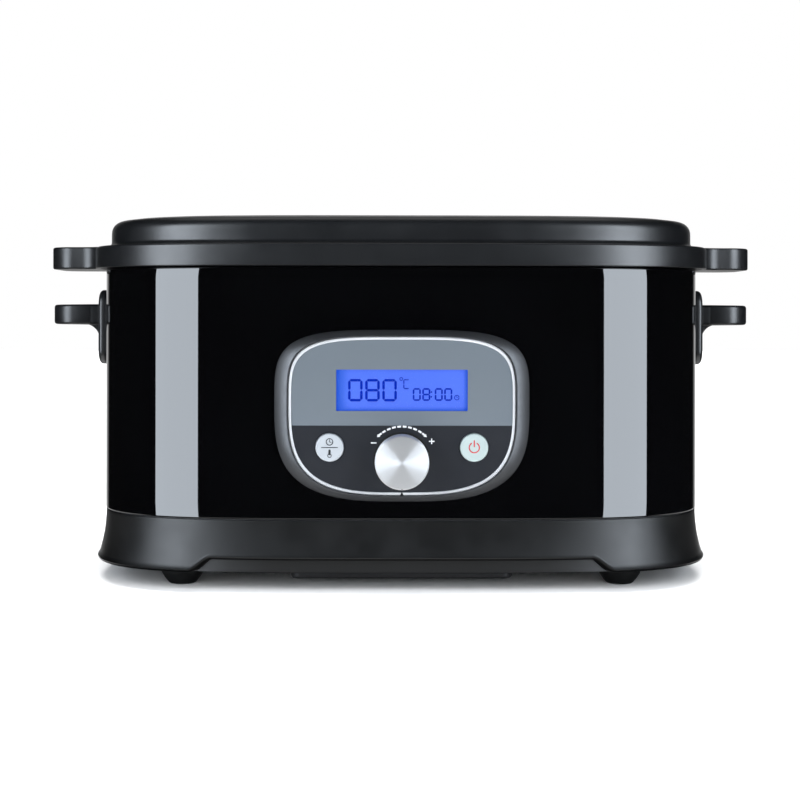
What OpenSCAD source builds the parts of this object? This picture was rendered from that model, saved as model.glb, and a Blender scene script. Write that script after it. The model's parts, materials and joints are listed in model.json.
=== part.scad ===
// Countertop sous vide cooker: a lidded water oven with a lift-out pot and pouch rack.
// +X is to the right of someone facing the panel, -Y is the front and +Z is up.
// The origin is the middle of the footprint, on the surface that the feet stand on.

/* [Housing] */
// Width of the housing at the seam above the base
body_w = 341.5; // [336:0.5:350]
// Depth of the housing at the seam above the base
body_d = 250; // [248:1:256]
// Exponent of the rounded plan outline, where 2 is an ellipse
plan_n = 4; // [4:0.1:4.6]
// Height of the seam between the base and the wrap
seam_z = 39; // [39:1:41]
// Height of the lower edge of the lid rim
rim_z = 175; // [172:1:185]
// Height of the base skirt's lower edge above the surface
skirt_z = 11; // [10.5:0.5:12.5]

/* [Lid] */
// Height of the lid rim
rim_h = 12; // [11.5:0.5:13]
// Height of the lid dome above its rim
dome_h = 17; // [15:0.5:20]
// How far the rim stands out past the seam outline
rim_out = 6; // [5.5:0.5:7]
// How far the lid grips reach from the middle plane
lid_grip_x = 208.5; // [206:0.5:212]
// Width of a lid grip, front to back
lid_grip_w = 56; // [50:1:64]

/* [Side handles] */
// How far the side handles reach from the middle plane
handle_x = 207; // [205:0.5:210]
// Width of a side handle's grip, front to back
handle_w = 60; // [52:1:70]
// Height of the top of the handle grip
handle_top_z = 155; // [152:0.5:156]

/* [Control panel] */
// Half width of the raised panel frame
panel_half_w = 67.9; // [66:0.1:70]
// Height at which the panel frame is widest
panel_mid_z = 101.6; // [100:0.1:104]
// Height of the panel frame above its widest line
panel_up = 39.2; // [38:0.1:41]
// Height of the panel frame below its widest line
panel_down = 52.2; // [51:0.1:53]
// Diameter of the knob
knob_d = 28.5; // [27:0.5:30]
// Diameter of each button
button_d = 15; // [14:0.5:16]
// Width of the display window
lcd_w = 70; // [64:1:72]
// Height of the display window
lcd_h = 22; // [20:1:24]

/* [Pot and rack] */
// Gap from the seam outline to the pot's wall
pot_inset = 29.5; // [29.5:0.5:32]
// Height of the pot's underside
pot_z = 52; // [52:0.5:54]
// Height of the rack dividers
divider_h = 93; // [80:1:100]

/* [Feet] */
// Distance of each foot from the middle plane, left to right
foot_x = 121.5; // [118:0.5:126]
// Distance of each foot from the housing's middle, front to back
foot_y = 87; // [80:1:90]
// Diameter of a foot where it stands
foot_d = 12.8; // [12:0.2:16]

/* [Hidden] */

// Curve quality and the number of points round the plan outline.
$fn = 48;
plan_steps = 72;
// Overshoot of a cutting solid, and the gap between a moving piece and its neighbour.
cut = 1;
gap = 0.3;

// Housing.
half_w = body_w / 2;
half_d = body_d / 2;
wrap_inset = -0.3;
wrap_t = 1;
wrap_top_z = rim_z + 3;
collar_top_z = rim_z + 6;
collar_out = 0.8;
collar_inner = 27.5;
liner_z = seam_z + 1;
liner_inset = 26.5;
liner_t = 1.2;
blanket_z = 70;
skirt_out = 3.8;
shelf_t = 2.5;
shell_t = 2.6;
arch_h = 7;
arch_flat = 101;
arch_end = 112;

// Lid.
rim_top_z = rim_z + rim_h;
lid_top_z = rim_top_z + dome_h;
dome_inset = 2.5;
lid_t = 2.5;
pan_z = collar_top_z + 4;
pan_t = 1.2;
pan_edge = 7;
gasket_inset = 19;
gasket_w = 6;
gasket_h = 2.2;

// Control panel: planes are distances behind (+) or before (-) the wrap's front face.
wrap_front = -(half_d - wrap_inset);
bezel_out = 5.2;
face_out = 3.2;
face_t = 2;
pcb_in = 8.4;
pcb_t = 1.6;
face_y = wrap_front - face_out;
pcb_y = wrap_front + pcb_in;
knob_out = 18;
knob_y = -(half_d + knob_out);
knob_gap = 1.2;
ring_side = 7.55;
ring_end = 3.65;
ring_w = 1.5;
panel_n_up = 4;
panel_n_down = 3.15;
knob_z = panel_mid_z - 30.2;
button_x = 38.4;
button_z = panel_mid_z - 23.2;
lcd_z = panel_mid_z + 7.1;
post_places = [[46, 122], [-46, 122], [30, 64.5], [-30, 64.5]];
retainer_screw_x = panel_half_w - 5.8;
retainer_screw_z = [88, 114];
display_board_w = 112;
display_board_h = 76;
display_board_z = panel_mid_z - 10.6;
shaft_r = 3;
fit = 0.05;

// The housing's middle sits behind the origin by half of what the knob stands out
// further in front than the lid rim does behind.
housing_y = (knob_out - rim_out) / 2;

// Colours.
satin_black = [0.12, 0.12, 0.13];
gloss_black = [0.02, 0.02, 0.03];
gunmetal = [0.42, 0.43, 0.46];
steel = [0.72, 0.73, 0.75];
board_green = [0.05, 0.3, 0.15];

function signed_power(v, e) = sign(v) * pow(abs(v), e);

// Rounded plan outline of the housing with half sizes a and b.
function plan_points(a, b) = [
    for (i = [0 : plan_steps - 1])
        let (t = 360 * i / plan_steps)
        [a * signed_power(cos(t), 2 / plan_n), b * signed_power(sin(t), 2 / plan_n)]
];

// Panel outline in X and Z, brought in by side and end; its top is squarer than its foot.
function panel_points(side, end, steps = 96) = [
    for (i = [0 : steps - 1])
        let (t = 360 * i / steps, top = sin(t) > 0)
        let (n = top ? panel_n_up : panel_n_down, h = (top ? panel_up : panel_down) - end)
        [(panel_half_w - side) * signed_power(cos(t), 2 / n), h * signed_power(sin(t), 2 / n)]
];

// S-shaped end of the arch in the skirt, running from f = 0 at its foot to f = 1 at its flat.
function arch_side(sx, steps = 8) = [
    for (i = [0 : steps])
        let (f = i / steps)
        [sx * (arch_end + (arch_flat - arch_end) * f), arch_h * f * f * (3 - 2 * f)]
];

module housing_frame() {
    translate([0, housing_y, 0]) children();
}

module plan(inset) {
    polygon(plan_points(half_w - inset, half_d - inset));
}

module slab(inset, z0, z1) {
    translate([0, 0, z0]) linear_extrude(z1 - z0) plan(inset);
}

module plan_ring(outer, inner, z0, z1) {
    difference() {
        slab(outer, z0, z1);
        slab(inner, z0 - cut, z1 + cut);
    }
}

// Solid through a list of [inset, z] levels, from the lowest to the highest.
module loft(levels) {
    rings = [for (l = levels) for (p = plan_points(half_w - l[0], half_d - l[0])) [p[0], p[1], l[1]]];
    last = plan_steps * (len(levels) - 1);
    polyhedron(rings, concat(
        [[for (i = [0 : plan_steps - 1]) i]],
        [for (k = [0 : len(levels) - 2]) for (i = [0 : plan_steps - 1])
            let (j = (i + 1) % plan_steps, low = k * plan_steps, high = low + plan_steps)
            [low + i, high + i, high + j, low + j]],
        [[for (i = [plan_steps - 1 : -1 : 0]) last + i]]
    ));
}

// Prism of the panel outline between two planes across Y.
module panel_slab(side, end, y0, y1) {
    translate([0, y1, panel_mid_z]) rotate([90, 0, 0]) linear_extrude(y1 - y0)
        polygon(panel_points(side, end));
}

module bar_y(r, y0, y1) {
    translate([0, y1, 0]) rotate([90, 0, 0]) cylinder(h = y1 - y0, r = r);
}

module bar_x(r, x0, x1) {
    translate([x0, 0, 0]) rotate([0, 90, 0]) cylinder(h = x1 - x0, r = r);
}

module centred_box(x, y, z0, z1) {
    translate([-x / 2, -y / 2, z0]) cube([x, y, z1 - z0]);
}

// Plate with rounded corners, centred on the origin in plan.
module rounded_plate(x, y, h, r) {
    for (sx = [-1, 1], sy = [-1, 1])
        translate([sx * (x / 2 - r), sy * (y / 2 - r), 0]) cylinder(h = h, r = r);
    centred_box(x - 2 * r, y, 0, h);
    centred_box(x, y - 2 * r, 0, h);
}

// Screw with its head below the origin, its shank along +Z and a hexagon socket.
module screw(len, r, head_r, head_h) {
    difference() {
        union() {
            translate([0, 0, -head_h]) cylinder(h = head_h, r = head_r);
            cylinder(h = len, r = r);
        }
        translate([0, 0, -head_h - cut]) cylinder(h = cut + head_h * 0.6, r = r * 0.8, $fn = 6);
    }
}

module at_panel(x, z) {
    translate([x, 0, z]) children();
}

// ---- Lid ----

lid_screw_places = [for (sx = [-1, 1], sy = [-1, 1]) [sx * 112, sy * 68]];
grip_t = 13;
grip_z = rim_z + 0.8;
grip_r = 14;
grip_fillet = 12;
grip_screw_y = 13;
grip_screw_z = grip_z + 5;
grip_root = half_w + rim_out;

module lid_shell() {
    color(satin_black) housing_frame() {
        difference() {
            loft([
                [-rim_out + 0.8, rim_z], [-rim_out, rim_z + 1.2], [-rim_out, rim_top_z - 1.6],
                [-rim_out + 1.6, rim_top_z], [dome_inset - 0.6, rim_top_z + 1],
                [dome_inset, lid_top_z - 13], [dome_inset + 0.2, lid_top_z - 7.4],
                [dome_inset + 1.8, lid_top_z - 4.4], [dome_inset + 4.2, lid_top_z - 2.6],
                [dome_inset + 9, lid_top_z - 1.3], [dome_inset + 24, lid_top_z - 0.6],
                [dome_inset + 60, lid_top_z]
            ]);
            slab(-rim_out + lid_t, rim_z - cut, rim_top_z - lid_t);
            loft([
                [dome_inset + lid_t, rim_top_z - lid_t - cut], [dome_inset + lid_t, lid_top_z - 9],
                [dome_inset + 7, lid_top_z - 5.5], [dome_inset + 26, lid_top_z - lid_t - 1]
            ]);
            for (sx = [-1, 1], sy = [-1, 1])
                translate([sx * half_w, sy * grip_screw_y, grip_screw_z])
                    bar_x(2.1, -12, 12);
        }
        for (p = lid_screw_places)
            translate([p[0], p[1], pan_z + pan_t]) difference() {
                cylinder(h = lid_top_z - 3 - pan_z - pan_t, r = 4.5);
                translate([0, 0, -cut]) cylinder(h = 10, r = 1.6);
            }
    }
}

// Moulded grip on the right; its root is cut to the rim's outline.
module lid_grip() {
    reach = lid_grip_x - grip_root;
    difference() {
        union() {
            translate([grip_root - 20 + (reach + 20) / 2, 0, grip_z])
                rounded_plate(reach + 20, lid_grip_w, grip_t, grip_r);
            for (sy = [-1, 1])
                translate([grip_root, sy * lid_grip_w / 2, grip_z + 1])
                    mirror([0, sy < 0 ? 1 : 0, 0]) difference() {
                        translate([-2, 0, 0]) cube([grip_fillet + 2, grip_fillet, grip_t - 2]);
                        translate([grip_fillet, grip_fillet, -cut])
                            cylinder(h = grip_t, r = grip_fillet);
                    }
        }
        slab(-rim_out, rim_z - cut, grip_z + grip_t + cut);
        for (sy = [-1, 1])
            translate([grip_root, sy * grip_screw_y, grip_screw_z]) bar_x(1.8, -cut, 14);
    }
}

module lid_grip_right() {
    color(satin_black) housing_frame() lid_grip();
}

module lid_grip_left() {
    color(satin_black) housing_frame() mirror([1, 0, 0]) lid_grip();
}

module lid_inner_pan() {
    color(steel) housing_frame() {
        difference() {
            slab(pan_edge, pan_z, pan_z + pan_t);
            for (p = lid_screw_places)
                translate([p[0], p[1], pan_z - cut]) cylinder(h = 3, r = 1.7);
        }
        plan_ring(pan_edge, pan_edge + pan_t, pan_z + pan_t, pan_z + 5);
    }
}

module lid_gasket() {
    color([0.35, 0.35, 0.36]) housing_frame() {
        plan_ring(gasket_inset, gasket_inset + gasket_w, pan_z - gasket_h, pan_z);
    }
}

module lid_screws() {
    color(steel) housing_frame() {
        for (p = lid_screw_places)
            translate([p[0], p[1], pan_z]) screw(10, 1.5, 3.2, 1.8);
        for (sx = [-1, 1], sy = [-1, 1])
            translate([sx * (grip_root - lid_t), sy * grip_screw_y, grip_screw_z])
                rotate([0, sx * 90, 0]) screw(14, 1.7, 3, 1.8);
    }
}

// ---- Pot and rack ----

pot_t = 1.5;
pot_flange_inset = 18;
flange_z = collar_top_z + gap;
rack_z = pot_z + pot_t + 0.5;
wire_r = 1.5;
rail_y = 62;
rack_half = 112;
divider_x = [-84, -28, 28, 84];

module inner_pot() {
    color([0.2, 0.2, 0.22]) housing_frame() difference() {
        union() {
            loft([
                [pot_inset + 8, pot_z], [pot_inset + 3, pot_z + 1.5], [pot_inset + 0.8, pot_z + 5],
                [pot_inset, pot_z + 10], [pot_inset, flange_z + 0.2]
            ]);
            slab(pot_flange_inset, flange_z, flange_z + pot_t);
        }
        loft([
            [pot_inset + 9, pot_z + pot_t], [pot_inset + 4.5, pot_z + pot_t + 1.5],
            [pot_inset + 2.3, pot_z + pot_t + 5], [pot_inset + pot_t, pot_z + pot_t + 10],
            [pot_inset + pot_t, flange_z + pot_t + cut]
        ]);
    }
}

module rack_base() {
    z = rack_z + wire_r;
    color(steel) housing_frame() {
        for (y = [-rail_y, -rail_y / 2, 0, rail_y / 2, rail_y])
            translate([0, y, z]) bar_x(wire_r, -rack_half, rack_half);
        for (x = [-rack_half : rack_half / 4 : rack_half])
            translate([x, 0, z]) bar_y(wire_r, -rail_y, rail_y);
        for (x = [-rack_half, rack_half], y = [-rail_y, rail_y])
            translate([x, y, z]) sphere(r = wire_r);
    }
}

// Wire panel that keeps two pouches apart, standing on the rack's base.
module rack_divider(index) {
    low = rack_z + 2 * wire_r;
    step = divider_h / 3;
    color(steel) housing_frame() translate([divider_x[index], 0, 0]) {
        for (y = [-rail_y, -rail_y / 2, 0, rail_y / 2, rail_y])
            translate([0, y, low]) cylinder(h = divider_h, r = wire_r);
        for (k = [1 : 3])
            translate([0, 0, low + k * step]) bar_y(wire_r, -rail_y, rail_y);
        for (y = [-rail_y, rail_y])
            translate([0, y, low + divider_h]) sphere(r = wire_r);
    }
}

// ---- Housing ----

handle_hole_y = 13;
handle_hole_z = handle_top_z - 6.5;
inlet_z = 57;
inlet_w = 27;
inlet_h = 20;
cutout_side = 3.9;
cutout_end = 1.7;

module housing_wrap() {
    color(gloss_black) housing_frame() difference() {
        plan_ring(wrap_inset, wrap_inset + wrap_t, seam_z, wrap_top_z);
        panel_slab(cutout_side, cutout_end, wrap_front - 3, wrap_front + 8);
        for (sx = [-1, 1], sy = [-1, 1])
            translate([sx * half_w, sy * handle_hole_y, handle_hole_z]) bar_x(2.2, -8, 8);
        translate([0, half_d, inlet_z])
            centred_box(inlet_w + 0.6, 12, -inlet_h / 2 - 0.3, inlet_h / 2 + 0.3);
        for (sx = [-1, 1])
            translate([sx * 20, half_d, inlet_z]) bar_y(1.7, -8, 8);
    }
}

module top_collar() {
    color(satin_black) housing_frame() {
        plan_ring(wrap_inset - collar_out, collar_inner, wrap_top_z, collar_top_z);
        plan_ring(wrap_inset + wrap_t + gap, collar_inner, wrap_top_z - 2, wrap_top_z);
    }
}

module heating_liner() {
    color([0.6, 0.61, 0.62]) housing_frame() difference() {
        union() {
            slab(liner_inset, liner_z, wrap_top_z - 2);
            plan_ring(12, liner_inset, wrap_top_z - 2 - liner_t, wrap_top_z - 2);
        }
        slab(liner_inset + liner_t, liner_z + liner_t, wrap_top_z);
        translate([0, 0, liner_z - cut]) cylinder(h = 5, r = 8.4);
        for (sx = [-1, 1])
            translate([sx * 14, -44, liner_z - cut]) cylinder(h = 5, r = 5);
    }
}

module insulation_blanket() {
    color([0.85, 0.84, 0.78]) housing_frame()
        plan_ring(19.5, liner_inset - 0.2, blanket_z, wrap_top_z - 6);
}

// ---- Heater and sensor ----

plate_z = pot_z - gap - 3.7;
plate_top_z = pot_z - gap;
plate_inset = 46;
element_r = 3.2;
element_z = plate_z - element_r;
bend_r = 44;
element_x = 56;
tail_x = 14;
tail_r = 6;
tail_drop = 8;
plate_post_x = 112;
plate_post_y = 22;
plate_post_r = 4;
holder_z = liner_z - 4;

module heater_plate() {
    color([0.75, 0.76, 0.78]) housing_frame() difference() {
        union() {
            slab(plate_inset, plate_z, plate_top_z);
            for (sx = [-1, 1], sy = [-1, 1])
                translate([sx * plate_post_x, sy * plate_post_y, liner_z + liner_t])
                    cylinder(h = plate_z - liner_z - liner_t, r = plate_post_r);
        }
        translate([0, 0, plate_z - cut]) cylinder(h = 8, r = 8.2);
    }
}

module element_bend() {
    rotate_extrude(angle = 180) translate([bend_r, 0]) circle(r = element_r);
}

module heating_element() {
    color([0.35, 0.3, 0.28]) housing_frame() translate([0, 0, element_z]) {
        translate([element_x, 0, 0]) rotate([0, 0, -90]) element_bend();
        translate([-element_x, 0, 0]) rotate([0, 0, 90]) element_bend();
        translate([0, bend_r, 0]) bar_x(element_r, -element_x, element_x);
        for (sx = [-1, 1])
            mirror([sx < 0 ? 1 : 0, 0, 0]) {
                translate([0, -bend_r, 0]) bar_x(element_r, tail_x + tail_r, element_x);
                translate([tail_x + tail_r, -bend_r, -tail_r]) rotate([90, 0, 0])
                    rotate([0, 0, 90]) rotate_extrude(angle = 90) translate([tail_r, 0])
                        circle(r = element_r);
                translate([tail_x, -bend_r, -tail_r - tail_drop])
                    cylinder(h = tail_drop, r = element_r);
            }
    }
}

// Spring-loaded probe whose cap touches the pot's underside.
module sensor_probe() {
    color(steel) housing_frame() {
        translate([0, 0, plate_top_z - 3]) cylinder(h = 3, r = 6.2);
        translate([0, 0, holder_z + 4.2]) cylinder(h = plate_top_z - 3 - holder_z - 4.2, r = 2);
    }
}

// Compression spring as a square-section helix, between the holder's floor and the probe's cap.
module sensor_spring() {
    z0 = holder_z + 1.2;
    z1 = plate_top_z - 3;
    turns = 4;
    steps = 18;
    half = 0.45;
    coil_r = 4.2;
    count = turns * steps;
    ring = [[-1, -1], [1, -1], [1, 1], [-1, 1]];
    rise = (z1 - z0 - 2 * half) / count;
    points = [for (i = [0 : count]) for (q = ring)
        let (t = 360 * i / steps, r = coil_r + half * q[0])
        [r * cos(t), r * sin(t), z0 + half + rise * i + half * q[1]]];
    sides = [for (i = [0 : count - 1]) for (k = [0 : 3])
        let (n = (k + 1) % 4, a = 4 * i)
        [a + k, a + n, a + 4 + n, a + 4 + k]];
    color(steel) housing_frame()
        polyhedron(points, concat([[3, 2, 1, 0]], sides, [[for (k = [0 : 3]) 4 * count + k]]));
}

module sensor_holder() {
    color([0.8, 0.78, 0.7]) housing_frame() difference() {
        union() {
            translate([0, 0, holder_z]) cylinder(h = plate_z - holder_z, r = 8);
            translate([0, 0, plate_z - 1.4]) cylinder(h = 1.4, r = 14);
        }
        translate([0, 0, holder_z + 1.2]) cylinder(h = 20, r = 6.5);
        translate([0, 0, holder_z - cut]) cylinder(h = 4, r = 1.2);
    }
}

module thermal_fuse() {
    color([0.85, 0.8, 0.6]) housing_frame() translate([48, 20, liner_z - 2.2]) {
        bar_x(2.1, -6, 6);
        bar_x(0.6, -14, 14);
        centred_box(4, 14, 1.6, 2.2);
    }
}

// ---- Base ----

foot_places = [[-1, -1], [1, -1], [-1, 1], [1, 1]];
foot_top_r = 12.2;
foot_recess_r = 3.2;
foot_seat_z = 5.2;
foot_bore_r = 2.2;
shelf_z = seam_z - shelf_t;
pan_inset = 3.1;
base_pan_z = skirt_z - 0.5;
base_pan_t = 1.2;
cover_w = 122;
cover_d = 150;
cover_y = -25;
cover_z = 4;
cover_t = 1.5;
cover_corner_r = 6;
cover_screw_places = [for (sx = [-1, 1], y = [-78, 28]) [sx * (cover_w / 2 + 5), y]];
pillar_places = [for (sx = [-1, 1], sy = [-1, 1]) [sx * 146, sy * 40]];
ribbon_x = 8;

module skirt_arch(sy) {
    points = concat(
        [[-arch_end - 3, -3]], arch_side(-1), [for (i = [8 : -1 : 0]) arch_side(1)[i]],
        [[arch_end + 3, -3]]
    );
    translate([0, sy > 0 ? half_d + 12 : -half_d + 12, skirt_z]) rotate([90, 0, 0])
        linear_extrude(24) polygon(points);
}

module base_shell() {
    color(satin_black) housing_frame() {
        difference() {
            loft([
                [-skirt_out + 1.1, skirt_z], [-skirt_out + 0.3, skirt_z + 0.6],
                [-skirt_out, skirt_z + 2], [-skirt_out + 1.2, skirt_z + 7],
                [-1.5, skirt_z + 13], [-0.6, skirt_z + 19], [0, seam_z]
            ]);
            slab(shell_t, skirt_z - cut, shelf_z);
            slab(24, shelf_z - cut, seam_z + cut);
            skirt_arch(-1);
            skirt_arch(1);
            translate([0, pcb_y + 3, shelf_z - cut]) centred_box(2 * ribbon_x + 4, 10, 0, 5);
            translate([0, inlet_front - lug_depth, shelf_z - cut]) centred_box(24, 10, 0, 5);
        }
        for (p = foot_places)
            translate([p[0] * foot_x, p[1] * foot_y, skirt_z]) difference() {
                union() {
                    cylinder(h = 2, r = foot_top_r + 0.6);
                    cylinder(h = shelf_z - skirt_z + 0.5, r = 5);
                }
                translate([0, 0, -cut]) cylinder(h = 20, r = 1.8);
            }
        for (p = pillar_places)
            translate([p[0], p[1], base_pan_z + base_pan_t]) difference() {
                cylinder(h = shelf_z - base_pan_z - base_pan_t + 0.5, r = 4);
                translate([0, 0, -cut]) cylinder(h = 12, r = 1.5);
            }
    }
}

module bottom_pan() {
    color([0.5, 0.51, 0.52]) housing_frame() difference() {
        slab(pan_inset, base_pan_z, base_pan_z + base_pan_t);
        for (p = foot_places)
            translate([p[0] * foot_x, p[1] * foot_y, base_pan_z - cut])
                cylinder(h = 4, r = foot_top_r + 1);
        translate([0, cover_y, base_pan_z - cut])
            centred_box(cover_w - 8, cover_d - 8, 0, 4);
        for (p = concat(cover_screw_places, pillar_places))
            translate([p[0], p[1], base_pan_z - cut]) cylinder(h = 4, r = 1.7);
        for (sx = [-1, 1], k = [0 : 5])
            translate([sx * 98, -45 + 18 * k, base_pan_z - cut]) rounded_plate(30, 5, 4, 2.4);
    }
}

module electronics_cover() {
    rim_w = 10;
    top = base_pan_z;
    color([0.1, 0.1, 0.11]) housing_frame() difference() {
        union() {
            translate([0, cover_y, cover_z])
                rounded_plate(cover_w, cover_d, top - cover_z, cover_corner_r);
            translate([0, cover_y, top - cover_t])
                rounded_plate(cover_w + 2 * rim_w, cover_d, cover_t, cover_corner_r);
        }
        translate([0, cover_y, cover_z + cover_t])
            rounded_plate(cover_w - 2 * cover_t, cover_d - 2 * cover_t, 12, cover_corner_r - cover_t);
        for (p = cover_screw_places)
            translate([p[0], p[1], top - 4]) cylinder(h = 6, r = 1.7);
        for (k = [-4 : 4])
            translate([k * 10, cover_y + 30, cover_z - cut]) rounded_plate(4, 40, 4, 1.9);
    }
}

module foot(index) {
    p = foot_places[index];
    r = foot_d / 2;
    color([0.06, 0.06, 0.06]) housing_frame()
        translate([p[0] * foot_x, p[1] * foot_y, 0]) rotate_extrude() polygon([
            [foot_recess_r, 0], [r, 0], [r + 1.2, 0.6], [r + 2.2, 1.7], [r + 3.6, 3.6],
            [foot_top_r - 0.3, 7], [foot_top_r, skirt_z - 1.5], [foot_top_r, skirt_z],
            [foot_bore_r, skirt_z], [foot_bore_r, foot_seat_z], [foot_recess_r, foot_seat_z]
        ]);
}

module foot_screws() {
    color(steel) housing_frame() for (p = foot_places)
        translate([p[0] * foot_x, p[1] * foot_y, foot_seat_z - 0.1]) screw(20, 1.7, 3, 2);
}

module cover_screws() {
    color(steel) housing_frame() {
        for (p = cover_screw_places)
            translate([p[0], p[1], base_pan_z - cover_t]) screw(6, 1.5, 3, 1.6);
        for (p = pillar_places)
            translate([p[0], p[1], base_pan_z]) screw(10, 1.4, 3, 1.6);
    }
}

// ---- Side handles ----

escutcheon_x = 174;
escutcheon_t = 5.6;
escutcheon_w = 54;
escutcheon_z = handle_top_z - 13.5;
escutcheon_h = 44;
handle_t = 12.2;
handle_corner_r = 12;
handle_under_r = 7;

// Handle on the right: boss, upright plate and a ledge to lift by.
module handle() {
    root = escutcheon_x + escutcheon_t;
    reach = handle_x - root;
    low = handle_top_z - handle_t;
    difference() {
        union() {
            translate([escutcheon_x, 0, escutcheon_z]) rotate([0, 90, 0])
                rounded_plate(escutcheon_h, escutcheon_w, escutcheon_t, 9);
            translate([escutcheon_x - 4, 0, handle_hole_z])
                centred_box(12, 40, -7, 7);
            translate([root - 3 + (reach + 3) / 2, 0, low])
                rounded_plate(reach + 3, handle_w, handle_t, handle_corner_r);
            translate([root, -handle_w / 2 + 8, low - handle_under_r]) difference() {
                translate([-1, 0, 0]) cube([handle_under_r + 1, handle_w - 16, handle_under_r + 0.5]);
                translate([handle_under_r, handle_w, 0]) rotate([90, 0, 0])
                    cylinder(h = 2 * handle_w, r = handle_under_r);
            }
        }
        slab(wrap_inset, seam_z, wrap_top_z);
        for (sy = [-1, 1])
            translate([half_w, sy * handle_hole_y, handle_hole_z]) bar_x(1.9, -4, 16);
    }
}

module handle_right() {
    color(satin_black) housing_frame() handle();
}

module handle_left() {
    color(satin_black) housing_frame() mirror([1, 0, 0]) handle();
}

module handle_screws() {
    head_x = half_w - wrap_inset - wrap_t - 0.3;
    color(steel) housing_frame() for (sx = [-1, 1], sy = [-1, 1])
        translate([sx * head_x, sy * handle_hole_y, handle_hole_z]) rotate([0, sx * 90, 0])
            screw(16, 1.8, 3.6, 2.2);
}

// ---- Power inlet ----

inlet_front = half_d - wrap_inset;
flange_t = 2;
surround_t = 5.4;
surround_w = 30.5;
surround_h = 22.5;
well_w = 24.5;
well_h = 16.5;
well_depth = 14;
lug_depth = 18.6;

module power_inlet() {
    color([0.05, 0.05, 0.05]) housing_frame() translate([0, inlet_front, inlet_z]) difference() {
        union() {
            translate([0, flange_t, 0]) rotate([90, 0, 0])
                rounded_plate(50, 23, flange_t, 4);
            translate([0, surround_t, 0]) rotate([90, 0, 0])
                rounded_plate(surround_w, surround_h, surround_t, 3);
            translate([0, -8, 0]) centred_box(inlet_w, 16.5, -inlet_h / 2, inlet_h / 2);
        }
        translate([0, surround_t + cut - (well_depth + cut) / 2, 0])
            centred_box(well_w, well_depth + cut, -well_h / 2, well_h / 2);
        for (sx = [-1, 1])
            translate([sx * 20, 0, 0]) bar_y(1.7, -6, 6);
        for (p = [[-7, -2], [7, -2], [0, 2]])
            translate([p[0], -12, p[1]]) centred_box(2.2, 14, -2.2, 2.2);
    }
}

module inlet_pins() {
    color([0.8, 0.75, 0.5]) housing_frame() translate([0, inlet_front, inlet_z])
        for (p = [[-7, -2], [7, -2], [0, 2]])
            translate([p[0], -12, p[1]]) centred_box(2, 17, -2, 2);
}

module inlet_screws() {
    color(steel) housing_frame() for (sx = [-1, 1])
        translate([sx * 20, inlet_front + flange_t, inlet_z]) rotate([90, 0, 0])
            screw(9, 1.5, 2.8, 1.4);
}

// ---- Control panel ----

module panel_bezel() {
    color(gunmetal) housing_frame() difference() {
        union() {
            difference() {
                panel_slab(0, 0, wrap_front - bezel_out, wrap_front + 3);
                slab(wrap_inset, seam_z, wrap_top_z);
            }
            panel_slab(cutout_side + 0.3, cutout_end + 0.3, wrap_front - 1, wrap_front + 1.2);
        }
        panel_slab(ring_side, ring_end, wrap_front - 9, face_y + face_t);
        panel_slab(ring_side + 4, ring_end + 4, wrap_front - 9, wrap_front + 9);
        for (sx = [-1, 1], z = retainer_screw_z)
            at_panel(sx * retainer_screw_x, z) bar_y(0.9, wrap_front - 2, wrap_front + 3);
    }
}

module panel_trim_ring() {
    color([0.9, 0.91, 0.92]) housing_frame() difference() {
        panel_slab(ring_side, ring_end, face_y - 0.8, face_y + face_t);
        panel_slab(ring_side + ring_w, ring_end + ring_w, face_y - 2, face_y + 4);
    }
}

module panel_face() {
    color([0.35, 0.38, 0.41]) housing_frame() difference() {
        union() {
            panel_slab(ring_side + ring_w, ring_end + ring_w, face_y, face_y + face_t);
            for (p = post_places)
                at_panel(p[0], p[1]) bar_y(3.2, face_y + face_t - 0.1, pcb_y);
        }
        at_panel(0, lcd_z) translate([0, face_y, 0])
            centred_box(lcd_w + 1, 8, -lcd_h / 2 - 0.5, lcd_h / 2 + 0.5);
        at_panel(0, knob_z) bar_y(3.7, face_y - 1, face_y + 4);
        for (sx = [-1, 1])
            at_panel(sx * button_x, button_z) bar_y(button_d / 2 + 0.25, face_y - 1, face_y + 4);
        for (p = post_places)
            at_panel(p[0], p[1]) bar_y(1.3, face_y + 3, pcb_y + 1);
    }
}

module panel_retainer() {
    color(steel) housing_frame() difference() {
        panel_slab(cutout_side - 5, cutout_end - 5, wrap_front + 2.3, wrap_front + 4);
        panel_slab(ring_side + 2, ring_end + 2, wrap_front, wrap_front + 6);
        for (sx = [-1, 1], z = retainer_screw_z)
            at_panel(sx * retainer_screw_x, z) bar_y(1.2, wrap_front, wrap_front + 6);
    }
}

module retainer_screws() {
    color(steel) housing_frame() for (sx = [-1, 1], z = retainer_screw_z)
        at_panel(sx * retainer_screw_x, z) translate([0, wrap_front + 4, 0])
            rotate([90, 0, 0]) screw(5, 0.85, 1.8, 1);
}

module lcd_window() {
    color([0.75, 0.8, 0.9, 0.5]) housing_frame() at_panel(0, lcd_z) translate([0, face_y + 0.8, 0])
        centred_box(lcd_w, 1.2, -lcd_h / 2, lcd_h / 2);
}

module lcd_module() {
    depth = pcb_y - face_y - face_t;
    color([0.3, 0.42, 0.9]) housing_frame() at_panel(0, lcd_z)
        translate([0, face_y + face_t + depth / 2, 0])
            centred_box(lcd_w + 5, depth, -lcd_h / 2 - 2.5, lcd_h / 2 + 2.5);
}

// Push button: cap, retaining flange behind the face and a stem towards its switch.
module button(sx) {
    at_panel(sx * button_x, button_z) {
        bar_y(button_d / 2, face_y - 1.2, face_y + face_t + 0.5);
        bar_y(button_d / 2 + 1.2, face_y + face_t + gap, face_y + face_t + 1.3);
        bar_y(2.4, face_y + face_t + 1, pcb_y - 6.6);
    }
}

module button_mode() {
    color([0.82, 0.84, 0.86]) housing_frame() button(-1);
}

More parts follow.
